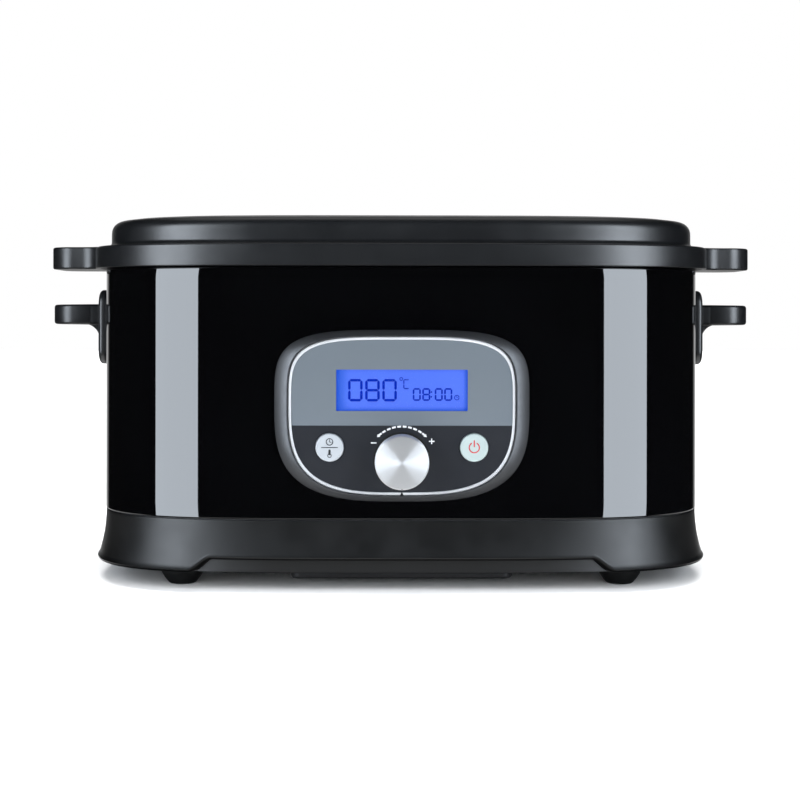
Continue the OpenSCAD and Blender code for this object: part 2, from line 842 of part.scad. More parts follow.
module button_power() {
    color([0.8, 0.88, 0.86]) housing_frame() button(1);
}

module tact_switches() {
    color([0.1, 0.1, 0.1]) housing_frame() for (sx = [-1, 1])
        at_panel(sx * button_x, button_z) {
            translate([0, pcb_y - 2.5, 0]) centred_box(6, 5, -3, 3);
            bar_y(1.7, pcb_y - 5.5, pcb_y - 4.5);
        }
}

module display_pcb() {
    color(board_green) housing_frame() difference() {
        at_panel(0, display_board_z) translate([0, pcb_y + pcb_t, 0]) rotate([90, 0, 0])
            rounded_plate(display_board_w, display_board_h, pcb_t, 6);
        for (p = post_places)
            at_panel(p[0], p[1]) bar_y(1.4, pcb_y - 1, pcb_y + 4);
    }
}

module panel_screws() {
    color(steel) housing_frame() for (p = post_places)
        at_panel(p[0], p[1]) translate([0, pcb_y + pcb_t, 0]) rotate([90, 0, 0])
            screw(6.5, 1.2, 2.4, 1.3);
}

// ---- Knob and encoder ----

knob_r = knob_d / 2;
knob_back = face_y - knob_gap;
cap_t = 1;
encoder_face = pcb_y - 6.5;
shaft_front = knob_y + 4;

module knob_cap() {
    color([0.85, 0.86, 0.88]) housing_frame() at_panel(0, knob_z) difference() {
        union() {
            bar_y(knob_r, knob_y + 0.8, knob_back);
            bar_y(knob_r - 0.8, knob_y, knob_y + 1);
        }
        bar_y(knob_r - cap_t, knob_y + cap_t + 0.6, knob_back + cut);
    }
}

module knob_hub() {
    color(satin_black) housing_frame() at_panel(0, knob_z) difference() {
        bar_y(knob_r - cap_t, knob_y + cap_t + 0.6, knob_back - 0.4);
        bar_y(shaft_r, shaft_front, knob_back + 1);
        bar_y(8, knob_back - 4.5, knob_back + 1);
    }
}

module encoder_shaft() {
    color(steel) housing_frame() at_panel(0, knob_z)
        bar_y(shaft_r, shaft_front, encoder_face + 4);
}

module encoder_body() {
    color([0.3, 0.31, 0.33]) housing_frame() at_panel(0, knob_z) difference() {
        union() {
            translate([0, (encoder_face + pcb_y) / 2, 0]) centred_box(12, 6.5, -6, 6);
            bar_y(3.5, face_y - 2.4, encoder_face + 0.5);
        }
        bar_y(shaft_r + fit, face_y - 4, encoder_face + 4.4);
    }
}

module encoder_nut() {
    color(steel) housing_frame() at_panel(0, knob_z) difference() {
        translate([0, face_y, 0]) rotate([90, 0, 0]) cylinder(h = 1.8, r = 5.6, $fn = 6);
        bar_y(3.5, face_y - 4, face_y + 1);
    }
}

// ---- Power electronics ----

board_z = cover_z + cover_t + 3.5;
board_top = board_z + pcb_t;
board_y = cover_y;
board_w = 104;
board_d = 124;
board_post_r = 3;
relay_at = [-30, -50];
transformer_at = [36, -60];
terminals_at = [0, 20];
ribbon_y = pcb_y + pcb_t + 0.2;

module power_pcb() {
    color(board_green) housing_frame() {
        translate([0, board_y, board_z]) rounded_plate(board_w, board_d, pcb_t, 4);
        for (sx = [-1, 1], sy = [-1, 1])
            translate([sx * (board_w / 2 - 7), board_y + sy * (board_d / 2 - 8), cover_z + cover_t])
                cylinder(h = board_z - cover_z - cover_t + 0.1, r = board_post_r);
    }
}

module relay() {
    color([0.1, 0.25, 0.6]) housing_frame()
        translate([relay_at[0], relay_at[1], board_top]) rounded_plate(19, 15.5, 15.5, 1);
}

module transformer() {
    color([0.75, 0.65, 0.2]) housing_frame() translate([transformer_at[0], transformer_at[1], 0]) {
        centred_box(28, 12, board_top, board_top + 22);
        centred_box(20, 26, board_top + 3, board_top + 19);
    }
}

module terminal_block() {
    color([0.2, 0.5, 0.3]) housing_frame()
        translate([terminals_at[0], terminals_at[1], board_top]) difference() {
            centred_box(50, 10, 0, 11);
            for (k = [-2 : 2])
                translate([k * 10, 0, 7]) cylinder(h = 6, r = 2);
        }
}

// Flat cable between the two boards, through the slot in the base shelf.
module ribbon_cable() {
    t = 1;
    plug_z = 66;
    turn_z = 24;
    run = 34;
    color([0.7, 0.7, 0.72]) housing_frame() translate([-ribbon_x, ribbon_y, 0]) {
        translate([0, 0, turn_z]) cube([2 * ribbon_x, t, plug_z - turn_z]);
        translate([0, 0, turn_z]) cube([2 * ribbon_x, run, t]);
        translate([0, run - t, board_top]) cube([2 * ribbon_x, t, turn_z - board_top + t]);
    }
}

// Wires from the terminals to the inlet's pins, and from the terminals to the element's tails.
wire_r_mains = 1.3;
inlet_leads = [[-20, -7, -2, 31], [-10, 0, 2, 27.5], [0, 7, -2, 24]];
right_lead = [10, 27.5];
left_lead = [20, 24];
left_lead_turn = -28;

module elbow(x, y, z) {
    translate([x, y, z]) sphere(r = wire_r_mains);
}

module post(x, y, z0, z1) {
    translate([x, y, z0]) cylinder(h = z1 - z0, r = wire_r_mains);
}

module mains_wiring() {
    top = board_top + 11;
    lug_y = inlet_front - lug_depth;
    tail_y = -bend_r;
    tail_z = element_z - tail_r - tail_drop;
    from_y = terminals_at[1];
    color([0.75, 0.3, 0.15]) housing_frame() {
        for (lead = inlet_leads) {
            z = lead[3];
            post(lead[0], from_y, top, z);
            elbow(lead[0], from_y, z);
            translate([lead[0], 0, z]) bar_y(wire_r_mains, from_y, lug_y);
            elbow(lead[0], lug_y, z);
            translate([0, lug_y, z]) bar_x(wire_r_mains, lead[0], lead[1]);
            elbow(lead[1], lug_y, z);
            post(lead[1], lug_y, z, inlet_z + lead[2] - 2);
        }
        post(right_lead[0], from_y, top, right_lead[1]);
        elbow(right_lead[0], from_y, right_lead[1]);
        translate([right_lead[0], 0, right_lead[1]]) bar_y(wire_r_mains, tail_y, from_y);
        elbow(right_lead[0], tail_y, right_lead[1]);
        translate([0, tail_y, right_lead[1]]) bar_x(wire_r_mains, right_lead[0], tail_x);
        elbow(tail_x, tail_y, right_lead[1]);
        post(tail_x, tail_y, right_lead[1], tail_z);
        post(left_lead[0], from_y, top, left_lead[1]);
        elbow(left_lead[0], from_y, left_lead[1]);
        translate([left_lead[0], 0, left_lead[1]]) bar_y(wire_r_mains, left_lead_turn, from_y);
        elbow(left_lead[0], left_lead_turn, left_lead[1]);
        translate([0, left_lead_turn, left_lead[1]]) bar_x(wire_r_mains, -tail_x, left_lead[0]);
        elbow(-tail_x, left_lead_turn, left_lead[1]);
        translate([-tail_x, 0, left_lead[1]]) bar_y(wire_r_mains, tail_y, left_lead_turn);
        elbow(-tail_x, tail_y, left_lead[1]);
        post(-tail_x, tail_y, left_lead[1], tail_z);
    }
}

lid_shell();
lid_grip_left();
lid_grip_right();
lid_inner_pan();
lid_gasket();
lid_screws();
inner_pot();
rack_base();
rack_divider(0);  // rack_divider_1
rack_divider(1);  // rack_divider_2
rack_divider(2);  // rack_divider_3
rack_divider(3);  // rack_divider_4
housing_wrap();
top_collar();
heating_liner();
insulation_blanket();
heater_plate();
heating_element();
sensor_probe();
sensor_spring();
sensor_holder();
thermal_fuse();
base_shell();
bottom_pan();
electronics_cover();
foot(0);  // foot_front_left
foot(1);  // foot_front_right
foot(2);  // foot_rear_left
foot(3);  // foot_rear_right
foot_screws();
cover_screws();
handle_left();
handle_right();
handle_screws();
power_inlet();
inlet_pins();
inlet_screws();
panel_bezel();
panel_trim_ring();
panel_face();
panel_retainer();
retainer_screws();
lcd_window();
lcd_module();
button_mode();
button_power();
tact_switches();
display_pcb();
panel_screws();
knob_cap();
knob_hub();
encoder_shaft();
encoder_body();
encoder_nut();
power_pcb();
relay();
transformer();
terminal_block();
ribbon_cable();
mains_wiring();
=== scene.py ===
"""Looks for a countertop sous vide cooker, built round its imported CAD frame.

Sizes in this file are in millimetres and are worked out from the frame's boxes; meshes are
written in metres. A "plan" shape follows the housing's rounded outline, brought in by an inset.
"""

import json
import math

import bmesh
import bpy
import numpy as np
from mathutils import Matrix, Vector


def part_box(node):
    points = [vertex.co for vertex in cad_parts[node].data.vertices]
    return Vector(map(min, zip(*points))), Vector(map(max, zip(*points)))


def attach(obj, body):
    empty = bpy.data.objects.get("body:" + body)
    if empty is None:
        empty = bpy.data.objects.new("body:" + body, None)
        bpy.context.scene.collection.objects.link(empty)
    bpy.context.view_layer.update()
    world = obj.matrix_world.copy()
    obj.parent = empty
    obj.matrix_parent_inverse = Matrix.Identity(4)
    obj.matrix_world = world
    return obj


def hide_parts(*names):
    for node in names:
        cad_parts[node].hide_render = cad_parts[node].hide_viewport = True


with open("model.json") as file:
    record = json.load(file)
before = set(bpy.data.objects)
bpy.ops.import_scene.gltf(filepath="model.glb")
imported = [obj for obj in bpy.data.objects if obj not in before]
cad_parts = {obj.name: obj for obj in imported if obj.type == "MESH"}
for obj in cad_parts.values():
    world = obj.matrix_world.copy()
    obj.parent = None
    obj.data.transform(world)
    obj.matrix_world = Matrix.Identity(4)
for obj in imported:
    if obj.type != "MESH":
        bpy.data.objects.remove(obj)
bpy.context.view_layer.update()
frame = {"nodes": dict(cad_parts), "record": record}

MM = 0.001
SIDES = ((-1, "left"), (1, "right"))


def span(node):
    """Lowest and highest corners of a CAD node, in millimetres."""
    low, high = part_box(node)
    return [v / MM for v in low], [v / MM for v in high]


def middle(node, axis):
    low, high = span(node)
    return (low[axis] + high[axis]) / 2


# ---- Driving sizes, from the frame ----

PLAN_N = 4.0
WRAP_INSET = -0.3
WRAP_LOW, WRAP_HIGH = span("housing_wrap")
HALF_W = (WRAP_HIGH[0] - WRAP_LOW[0]) / 2 + WRAP_INSET
HALF_D = (WRAP_HIGH[1] - WRAP_LOW[1]) / 2 + WRAP_INSET
MID_Y = (WRAP_HIGH[1] + WRAP_LOW[1]) / 2
SEAM_Z = WRAP_LOW[2]
WRAP_TOP_Z = WRAP_HIGH[2]
LID_LOW, LID_HIGH = span("lid_shell")
RIM_Z = LID_LOW[2]
RIM_OUT = LID_HIGH[0] - HALF_W
RIM_HEIGHT = 12
RIM_TOP_Z = RIM_Z + RIM_HEIGHT
LID_TOP_Z = LID_HIGH[2]
SKIRT_LOW, SKIRT_HIGH = span("base_shell")
SKIRT_Z = SKIRT_LOW[2]
SKIRT_OUT = SKIRT_HIGH[0] - HALF_W
FEET = ("foot_front_left", "foot_front_right", "foot_rear_left", "foot_rear_right")


# ---- Mesh tools ----


OUTLINE_SAMPLES = 60001
WELD_DISTANCE = 1e-6
REPEAT_DISTANCE = 1e-4
WIRE_SIDES = 16
BEND_STEPS = 6


def spow(v, e):
    """Power that keeps the sign of v."""
    return np.sign(v) * np.abs(v) ** e


def plan_xy(angles, inset):
    """Points of the plan outline at these angles, brought in by inset."""
    a, b = HALF_W - inset, HALF_D - inset
    return a * spow(np.cos(angles), 2 / PLAN_N), MID_Y + b * spow(np.sin(angles), 2 / PLAN_N)


def even_angles(count, outline, busy=None):
    """Angles that space an outline's points evenly, or closer where busy(x, y) is higher."""
    fine = np.linspace(0, 2 * math.pi, OUTLINE_SAMPLES)
    x, y = outline(fine)
    step = np.hypot(np.diff(x), np.diff(y))
    if busy is not None:
        step = step * busy((x[1:] + x[:-1]) / 2, (y[1:] + y[:-1]) / 2)
    walked = np.concatenate([[0], np.cumsum(step)])
    return np.interp(np.linspace(0, walked[-1], count, endpoint=False), walked, fine)


PLAN_ANGLES = even_angles(400, lambda t: plan_xy(t, 0))


def arc(cx, cy, r, start, end, count=8):
    """Points of an arc, with its angles in degrees."""
    turns = [math.radians(start + (end - start) * i / count) for i in range(count + 1)]
    return [(cx + r * math.cos(t), cy + r * math.sin(t)) for t in turns]


def bend(cx, cy, r, start, end, count, sx=1, sy=1):
    """Points of an arc that is mirrored about its centre where sx or sy is -1."""
    return [(cx + sx * x, cy + sy * y) for x, y in arc(0, 0, r, start, end, count)]


def weld(data):
    """Joins a mesh's doubled points and turns its faces outwards."""
    form = bmesh.new()
    form.from_mesh(data)
    bmesh.ops.remove_doubles(form, verts=form.verts, dist=WELD_DISTANCE)
    bmesh.ops.recalc_face_normals(form, faces=form.faces)
    form.to_mesh(data)
    form.free()


def new_object(name, data):
    made = bpy.data.objects.new(name, data)
    bpy.context.scene.collection.objects.link(made)
    return made


def new_mesh(name, points, faces):
    """Object with this mesh; points are in millimetres."""
    data = bpy.data.meshes.new(name)
    data.from_pydata([tuple(float(c) * MM for c in p) for p in points], [], faces)
    data.validate()
    weld(data)
    return new_object(name, data)


def shade(obj, degrees=32):
    obj.data.polygons.foreach_set("use_smooth", [True] * len(obj.data.polygons))
    obj.data.set_sharp_from_angle(angle=math.radians(degrees))
    obj.data.update()
    return obj


def finish_piece(obj, body, slot, replaces=(), degrees=32, material=None):
    """Shades a piece, gives it its slot's finish or another material, and ties it to its body."""
    obj.data.materials.clear()
    obj.data.materials.append(material or FINISH[slot])
    if degrees:
        shade(obj, degrees)
    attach(obj, body)
    if replaces:
        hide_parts(*replaces)
    return obj


def skin(rings, closed=False, caps=(True, True)):
    """Points and faces over a list of rings with the same number of points."""
    count = len(rings[0])
    points = [p for ring in rings for p in ring]
    faces = []
    last = len(rings) if closed else len(rings) - 1
    for k in range(last):
        low, high = k * count, ((k + 1) % len(rings)) * count
        for i in range(count):
            j = (i + 1) % count
            faces.append((low + i, low + j, high + j, high + i))
    if not closed:
        if caps[0]:
            faces.append(tuple(range(count - 1, -1, -1)))
        if caps[1]:
            base = (len(rings) - 1) * count
            faces.append(tuple(range(base, base + count)))
    return points, faces


def plan_loft(name, levels, closed=False, caps=(True, True)):
    """Solid through (inset, z) levels of the plan outline."""
    rings = []
    for inset, z in levels:
        x, y = plan_xy(PLAN_ANGLES, inset)
        rings.append([(px, py, z) for px, py in zip(x, y)])
    return new_mesh(name, *skin(rings, closed, caps))


def lathe(name, profile, centre, axis="Z", steps=96, closed=True):
    """Turned solid through (radius, distance) points along an axis."""
    rings = []
    for i in range(steps):
        t = 2 * math.pi * i / steps
        c, s = math.cos(t), math.sin(t)
        ring = []
        for r, d in profile:
            place = {"Z": (r * c, r * s, d), "Y": (r * c, d, r * s)}[axis]
            ring.append(tuple(p + q for p, q in zip(place, centre)))
        rings.append(ring)
    count = len(profile)
    points = [p for ring in rings for p in ring]
    faces = []
    sides = count if closed else count - 1
    for i in range(steps):
        j = (i + 1) % steps
        for k in range(sides):
            m = (k + 1) % count
            faces.append((i * count + k, j * count + k, j * count + m, i * count + m))
    return new_mesh(name, points, faces)


def tube(name, path, radius, closed=False):
    """Round wire along a path of points."""
    pts = [Vector(p) for p in path]
    count = len(pts)
    rings = []
    normal = None
    for i, p in enumerate(pts):
        before = pts[i - 1] if (i > 0 or closed) else pts[i]
        after = pts[(i + 1) % count] if (i < count - 1 or closed) else pts[i]
        along = (after - before).normalized()
        if normal is None:
            helper = Vector((0, 0, 1)) if abs(along.z) < 0.9 else Vector((1, 0, 0))
            normal = along.cross(helper).normalized()
        normal = (normal - along * normal.dot(along)).normalized()
        side = along.cross(normal)
        rings.append([
            tuple(p + radius * (normal * math.cos(a) + side * math.sin(a)))
            for a in [2 * math.pi * k / WIRE_SIDES for k in range(WIRE_SIDES)]
        ])
    return new_mesh(name, *skin(rings, closed))


def rounded_path(corners, radius):
    """Path through corner points, with a curve in place of each inner corner."""
    pts = [Vector(c) for c in corners]
    path = [pts[0]]
    for a, b, c in zip(pts, pts[1:], pts[2:]):
        p, q = b + (a - b).normalized() * radius, b + (c - b).normalized() * radius
        for i in range(BEND_STEPS + 1):
            f = i / BEND_STEPS
            path.append(p * (1 - f) ** 2 + b * 2 * f * (1 - f) + q * f**2)
    path.append(pts[-1])
    return path


def rounded_rectangle(w, h, r, steps=10, cx=0, cy=0):
    """Outline of a rectangle with round corners, anticlockwise."""
    points = []
    for sx, sy, start in ((1, 1, 0), (-1, 1, 90), (-1, -1, 180), (1, -1, 270)):
        points += arc(cx + sx * (w / 2 - r), cy + sy * (h / 2 - r), r, start, start + 90, steps)
    return points


def inset_outline(points, inset):
    """Closed outline brought in along its own normals."""
    p = np.array(points, float)
    along = np.roll(p, -1, axis=0) - p
    along /= np.maximum(np.linalg.norm(along, axis=1, keepdims=True), 1e-9)
    both = along + np.roll(along, 1, axis=0)
    both /= np.maximum(np.linalg.norm(both, axis=1, keepdims=True), 1e-9)
    turn = np.sum(both * along, axis=1, keepdims=True)
    inward = np.stack([-both[:, 1], both[:, 0]], axis=1)
    return p + inward * inset / np.maximum(turn, 0.5)


def drop_repeats(points):
    """The points of a closed outline without those that repeat the one before."""
    kept = [points[0]]
    for p in points[1:]:
        if math.dist(p, kept[-1]) > REPEAT_DISTANCE:
            kept.append(p)
    if math.dist(kept[0], kept[-1]) <= REPEAT_DISTANCE:
        kept.pop()
    return kept


def edged_profile(low, high, r, count=5):
    """(inset, height) profile of a plate with rounded edges."""
    return (
        bend(r, low + r, r, 90, 0, count, -1, -1)
        + bend(r, high - r, r, 0, 90, count, -1, 1)
    )


def plate(name, outline, profile, place):
    """Solid from an outline swept through (inset, height) levels; place(u, v, h) gives x, y, z."""
    outline = drop_repeats(outline)
    rings = []
    for inset, height in profile:
        ring = inset_outline(outline, inset)
        rings.append([place(u, v, height) for u, v in ring])
    return new_mesh(name, *skin(rings))


def upright(u, v, h):
    """Outline in X and Y, swept along Z."""
    return u, v, h


def facing(u, v, h):
    """Outline in X and Z, swept along Y."""
    return u, h, v


def sideways(u, v, h):
    """Outline in Y and Z, swept along X."""
    return h, MID_Y + u, v


def join(name, objects):
    """One object from several, as separate shells."""
    form = bmesh.new()
    for obj in objects:
        form.from_mesh(obj.data)
        bpy.data.objects.remove(obj)
    data = bpy.data.meshes.new(name)
    form.to_mesh(data)
    form.free()
    return new_object(name, data)


def combine(obj, other, operation):
    """Boolean of two objects, applied; the other one is used up."""
    step = obj.modifiers.new("cut", "BOOLEAN")
    step.operation = operation
    step.solver = "EXACT"
    step.object = other
    bpy.context.view_layer.update()
    shown = bpy.context.evaluated_depsgraph_get()
    data = bpy.data.meshes.new_from_object(obj.evaluated_get(shown))
    obj.modifiers.clear()
    obj.data = data
    bpy.data.objects.remove(other)


def cut(obj, *others):
    for other in others:
        combine(obj, other, "DIFFERENCE")


def rod(r, start, end, centre, axis="Z", steps=64):
    """Plain round bar along an axis, to cut a hole with."""
    return lathe("rod", [(0.001, start), (r, start), (r, end), (0.001, end)], centre, axis, steps)


def mirrored(obj, name):
    """Copy of an object reflected in the middle plane."""
    data = obj.data.copy()
    for v in data.vertices:
        v.co.x = -v.co.x
    data.flip_normals()
    data.update()
    return new_object(name, data)


# ---- Materials ----


class Shader:
    """Node material round one Principled shader, with object coordinates in metres."""

    def __init__(self, name, colour, roughness, **fixed):
        self.material = bpy.data.materials.new(name)
        self.material.use_nodes = True
        self.tree = self.material.node_tree
        self.main = self.tree.nodes["Principled BSDF"]
        self.where = self.add("TexCoord").outputs["Object"]
        self.main.inputs["Base Color"].default_value = (*colour, 1)
        self.main.inputs["Roughness"].default_value = roughness
        self.bump = None
        for key, value in fixed.items():
            self.main.inputs[key.replace("_", " ")].default_value = value

    def add(self, kind, values=None, **settings):
        """New node with these settings, and these values on its inputs."""
        made = self.tree.nodes.new("ShaderNode" + kind)
        for key, value in settings.items():
            setattr(made, key, value)
        for key, value in (values or {}).items():
            made.inputs[key].default_value = value
        return made

    def link(self, output, target):
        self.tree.links.new(output, target)

    def drive(self, socket, output):
        """Feeds an input of the main shader."""
        self.link(output, self.main.inputs[socket])

    def math(self, operation, a, b=None):
        made = self.add("Math", operation=operation)
        for socket, value in zip(made.inputs, (a, b)):
            if value is None:
                continue
            if isinstance(value, (int, float)):
                socket.default_value = value
            else:
                self.link(value, socket)
        return made.outputs[0]

    def noise(self, scale, detail=2.0, stretch=(1, 1, 1)):
        """Noise whose scale is in features per metre."""
        mapping = self.add("Mapping", {"Scale": stretch})
        self.link(self.where, mapping.inputs["Vector"])
        made = self.add("TexNoise", {"Scale": scale, "Detail": detail})
        self.link(mapping.outputs[0], made.inputs["Vector"])
        return made.outputs["Fac"]

    def ramp(self, value, start, end, low=0.0, high=1.0, **settings):
        """Goes from low to high as the value goes from start to end."""
        numbers = {"From Min": start, "From Max": end, "To Min": low, "To Max": high}
        made = self.add("MapRange", numbers, **settings)
        self.link(value, made.inputs["Value"])
        return made.outputs["Result"]

    def spread(self, noise, low, high):
        """Turns a noise into values between low and high."""
        return self.ramp(noise, 0.3, 0.7, low, high)

    def axes(self, vector):
        """X, Y and Z of a vector."""
        split = self.add("SeparateXYZ")
        self.link(vector, split.inputs[0])
        return split.outputs

    def mix(self, factor, low, high):
        made = self.add("Mix", data_type="RGBA")
        if isinstance(factor, (int, float)):
            made.inputs[0].default_value = factor
        else:
            self.link(factor, made.inputs[0])
        for socket, value in ((made.inputs[6], low), (made.inputs[7], high)):
            if isinstance(value, tuple):
                socket.default_value = (*value, 1)
            else:
                self.link(value, socket)
        return made.outputs[2]

    def mottle(self, scale, low, high):
        """Slow change of colour over the surface."""
        colour = self.mix(self.spread(self.noise(scale, 3.0), 0, 1), low, high)
        self.drive("Base Color", colour)
        return self

    def wear(self, scale, low, high, stretch=(1, 1, 1)):
        """Roughness that varies over the surface."""
        self.drive("Roughness", self.spread(self.noise(scale, 3.0, stretch), low, high))
        return self

    def relief(self, height, strength, depth):
        """Adds a bump from a height; depth is in metres."""
        made = self.add("Bump", {"Strength": strength, "Distance": depth})
        self.link(height, made.inputs["Height"])
        if self.bump is not None:
            self.link(self.bump, made.inputs["Normal"])
        self.bump = made.outputs["Normal"]
        self.drive("Normal", self.bump)
        return self

    def grain(self, scale, strength, depth=0.0002, stretch=(1, 1, 1)):
        return self.relief(self.noise(scale, 2.0, stretch), strength, depth)


def shift(colour, factor):
    return tuple(c * factor for c in colour)


def make_plastic(name, colour, low, high, grain=0.12, specular=0.5):
    made = Shader(name, colour, (low + high) / 2, Specular_IOR_Level=specular)
    made.mottle(18, shift(colour, 0.88), shift(colour, 1.12)).wear(55, low, high)
    return made.grain(2600, grain).material


def make_metal(name, colour, low, high, stretch=(1, 1, 1), grain=0.06, metallic=1.0):
    made = Shader(name, colour, (low + high) / 2, Metallic=metallic)
    made.mottle(40, shift(colour, 0.9), shift(colour, 1.05)).wear(300, low, high, stretch)
    return made.grain(900, grain, 0.0001, stretch).material


def make_enamel():
    """Stoved gloss paint on sheet steel, with a very faint orange peel."""
    black = (0.0012, 0.0012, 0.0015)
    made = Shader("gloss_enamel", black, 0.02, Specular_IOR_Level=1.0)
    made.mottle(9, shift(black, 0.8), shift(black, 1.2)).wear(30, 0.012, 0.03)
    return made.grain(160, 0.02, 0.00002).material


def make_face_print(split_z, top_z):
    """Printed overlay: grey above the split line, dark below it."""
    made = Shader("panel_print", (0.2, 0.23, 0.26), 0.34)
    height = made.axes(made.where)["Z"]
    upper = made.math("GREATER_THAN", height, split_z * MM)
    fade = made.ramp(height, split_z * MM, top_z * MM)
    light = made.mix(fade, (0.142, 0.166, 0.189), (0.126, 0.148, 0.169))
    speck = made.spread(made.noise(5200, 1.0), 0.0, 1.0)
    dark = made.mix(speck, (0.018, 0.0195, 0.024), (0.023, 0.025, 0.031))
    made.drive("Base Color", made.mix(upper, dark, light))
    made.wear(80, 0.3, 0.4)
    return made.grain(3200, 0.05, 0.0001).material


def make_display(low, high):
    """Back-lit blue liquid crystal, a little deeper towards its left end and edges."""
    made = Shader("display_glow", (0.03, 0.07, 0.2), 0.5, Specular_IOR_Level=0.1, Emission_Strength=0.95)
    place = made.axes(made.where)
    left, foot, right = [
        made.ramp(place[axis], start * MM, end * MM, interpolation_type="SMOOTHSTEP")
        for axis, start, end in (("X", low[0] + 0.5, low[0] + 9), ("Z", low[2] - 0.5, low[2] + 2.5),
                                 ("X", high[0] + 0.5, high[0] - 3))
    ]
    edge = made.math("MULTIPLY", left, made.math("MULTIPLY", foot, right))
    patch = made.spread(made.noise(60, 1.0), 0, 1)
    body = made.mix(patch, (0.056, 0.108, 0.74), (0.063, 0.118, 0.78))
    made.drive("Emission Color", made.mix(edge, (0.0, 0.05, 0.55), body))
    return made.material


def make_lens():
    made = Shader("display_lens", (0.02, 0.03, 0.06), 0.05, Alpha=0.02)
    made.wear(120, 0.03, 0.07)
    return made.grain(60, 0.01, 0.00005).material


def make_ink(name, colour):
    made = Shader(name, colour, 0.4)
    made.mottle(300, shift(colour, 0.92), colour).wear(400, 0.34, 0.46)
    return made.material


def make_lit_ink(name, colour):
    made = Shader(name, (0.0, 0.0, 0.01), 0.5, Specular_IOR_Level=0.1, Emission_Strength=0.55)
    tone = made.mix(made.spread(made.noise(500, 1.0), 0, 1), shift(colour, 0.85), colour)
    made.drive("Emission Color", tone)
    return made.material


TURNING_PITCH = 0.00022


def make_spun_face(centre):
    """Face-turned aluminium: fine rings round the knob's axis, with highlights drawn out across them."""
    made = Shader("spun_aluminium", (0.86, 0.87, 0.88), 0.42, Metallic=0.74, Anisotropic=1.0,
                  Anisotropic_Rotation=0.25)
    tangent = made.add("Tangent", direction_type="RADIAL", axis="Y")
    made.drive("Tangent", tangent.outputs[0])
    offset = made.add("VectorMath", operation="SUBTRACT")
    made.link(made.where, offset.inputs[0])
    offset.inputs[1].default_value = [c * MM for c in centre]
    place = made.axes(offset.outputs[0])
    squares = [made.math("MULTIPLY", place[axis], place[axis]) for axis in "XZ"]
    radius = made.math("SQRT", made.math("ADD", *squares))
    rings = made.math("SINE", made.math("MULTIPLY", radius, 2 * math.pi / TURNING_PITCH))
    made.relief(rings, 0.02, 0.000004)
    line = made.add("TexNoise", {"Scale": 5200}, noise_dimensions="1D")
    made.link(radius, line.inputs["W"])
    made.drive("Roughness", made.spread(line.outputs["Fac"], 0.35, 0.39))
    tone = made.mix(made.spread(line.outputs["Fac"], 0, 1), (0.93, 0.94, 0.95), (0.98, 0.985, 0.99))
    made.drive("Base Color", tone)
    return made.material


def make_fleece():
    """Pale glass wool."""
    made = Shader("glass_fleece", (0.8, 0.79, 0.73), 0.95)
    made.mottle(220, (0.66, 0.65, 0.6), (0.85, 0.84, 0.8)).wear(90, 0.85, 1.0)
    return made.grain(900, 0.6, 0.001).material


def make_coated_pot():
    """Dark speckled non-stick coating."""
    made = Shader("pot_coating", (0.055, 0.056, 0.06), 0.35)
    made.mottle(700, (0.045, 0.046, 0.05), (0.075, 0.076, 0.08)).wear(90, 0.3, 0.42)
    return made.grain(1800, 0.1).material


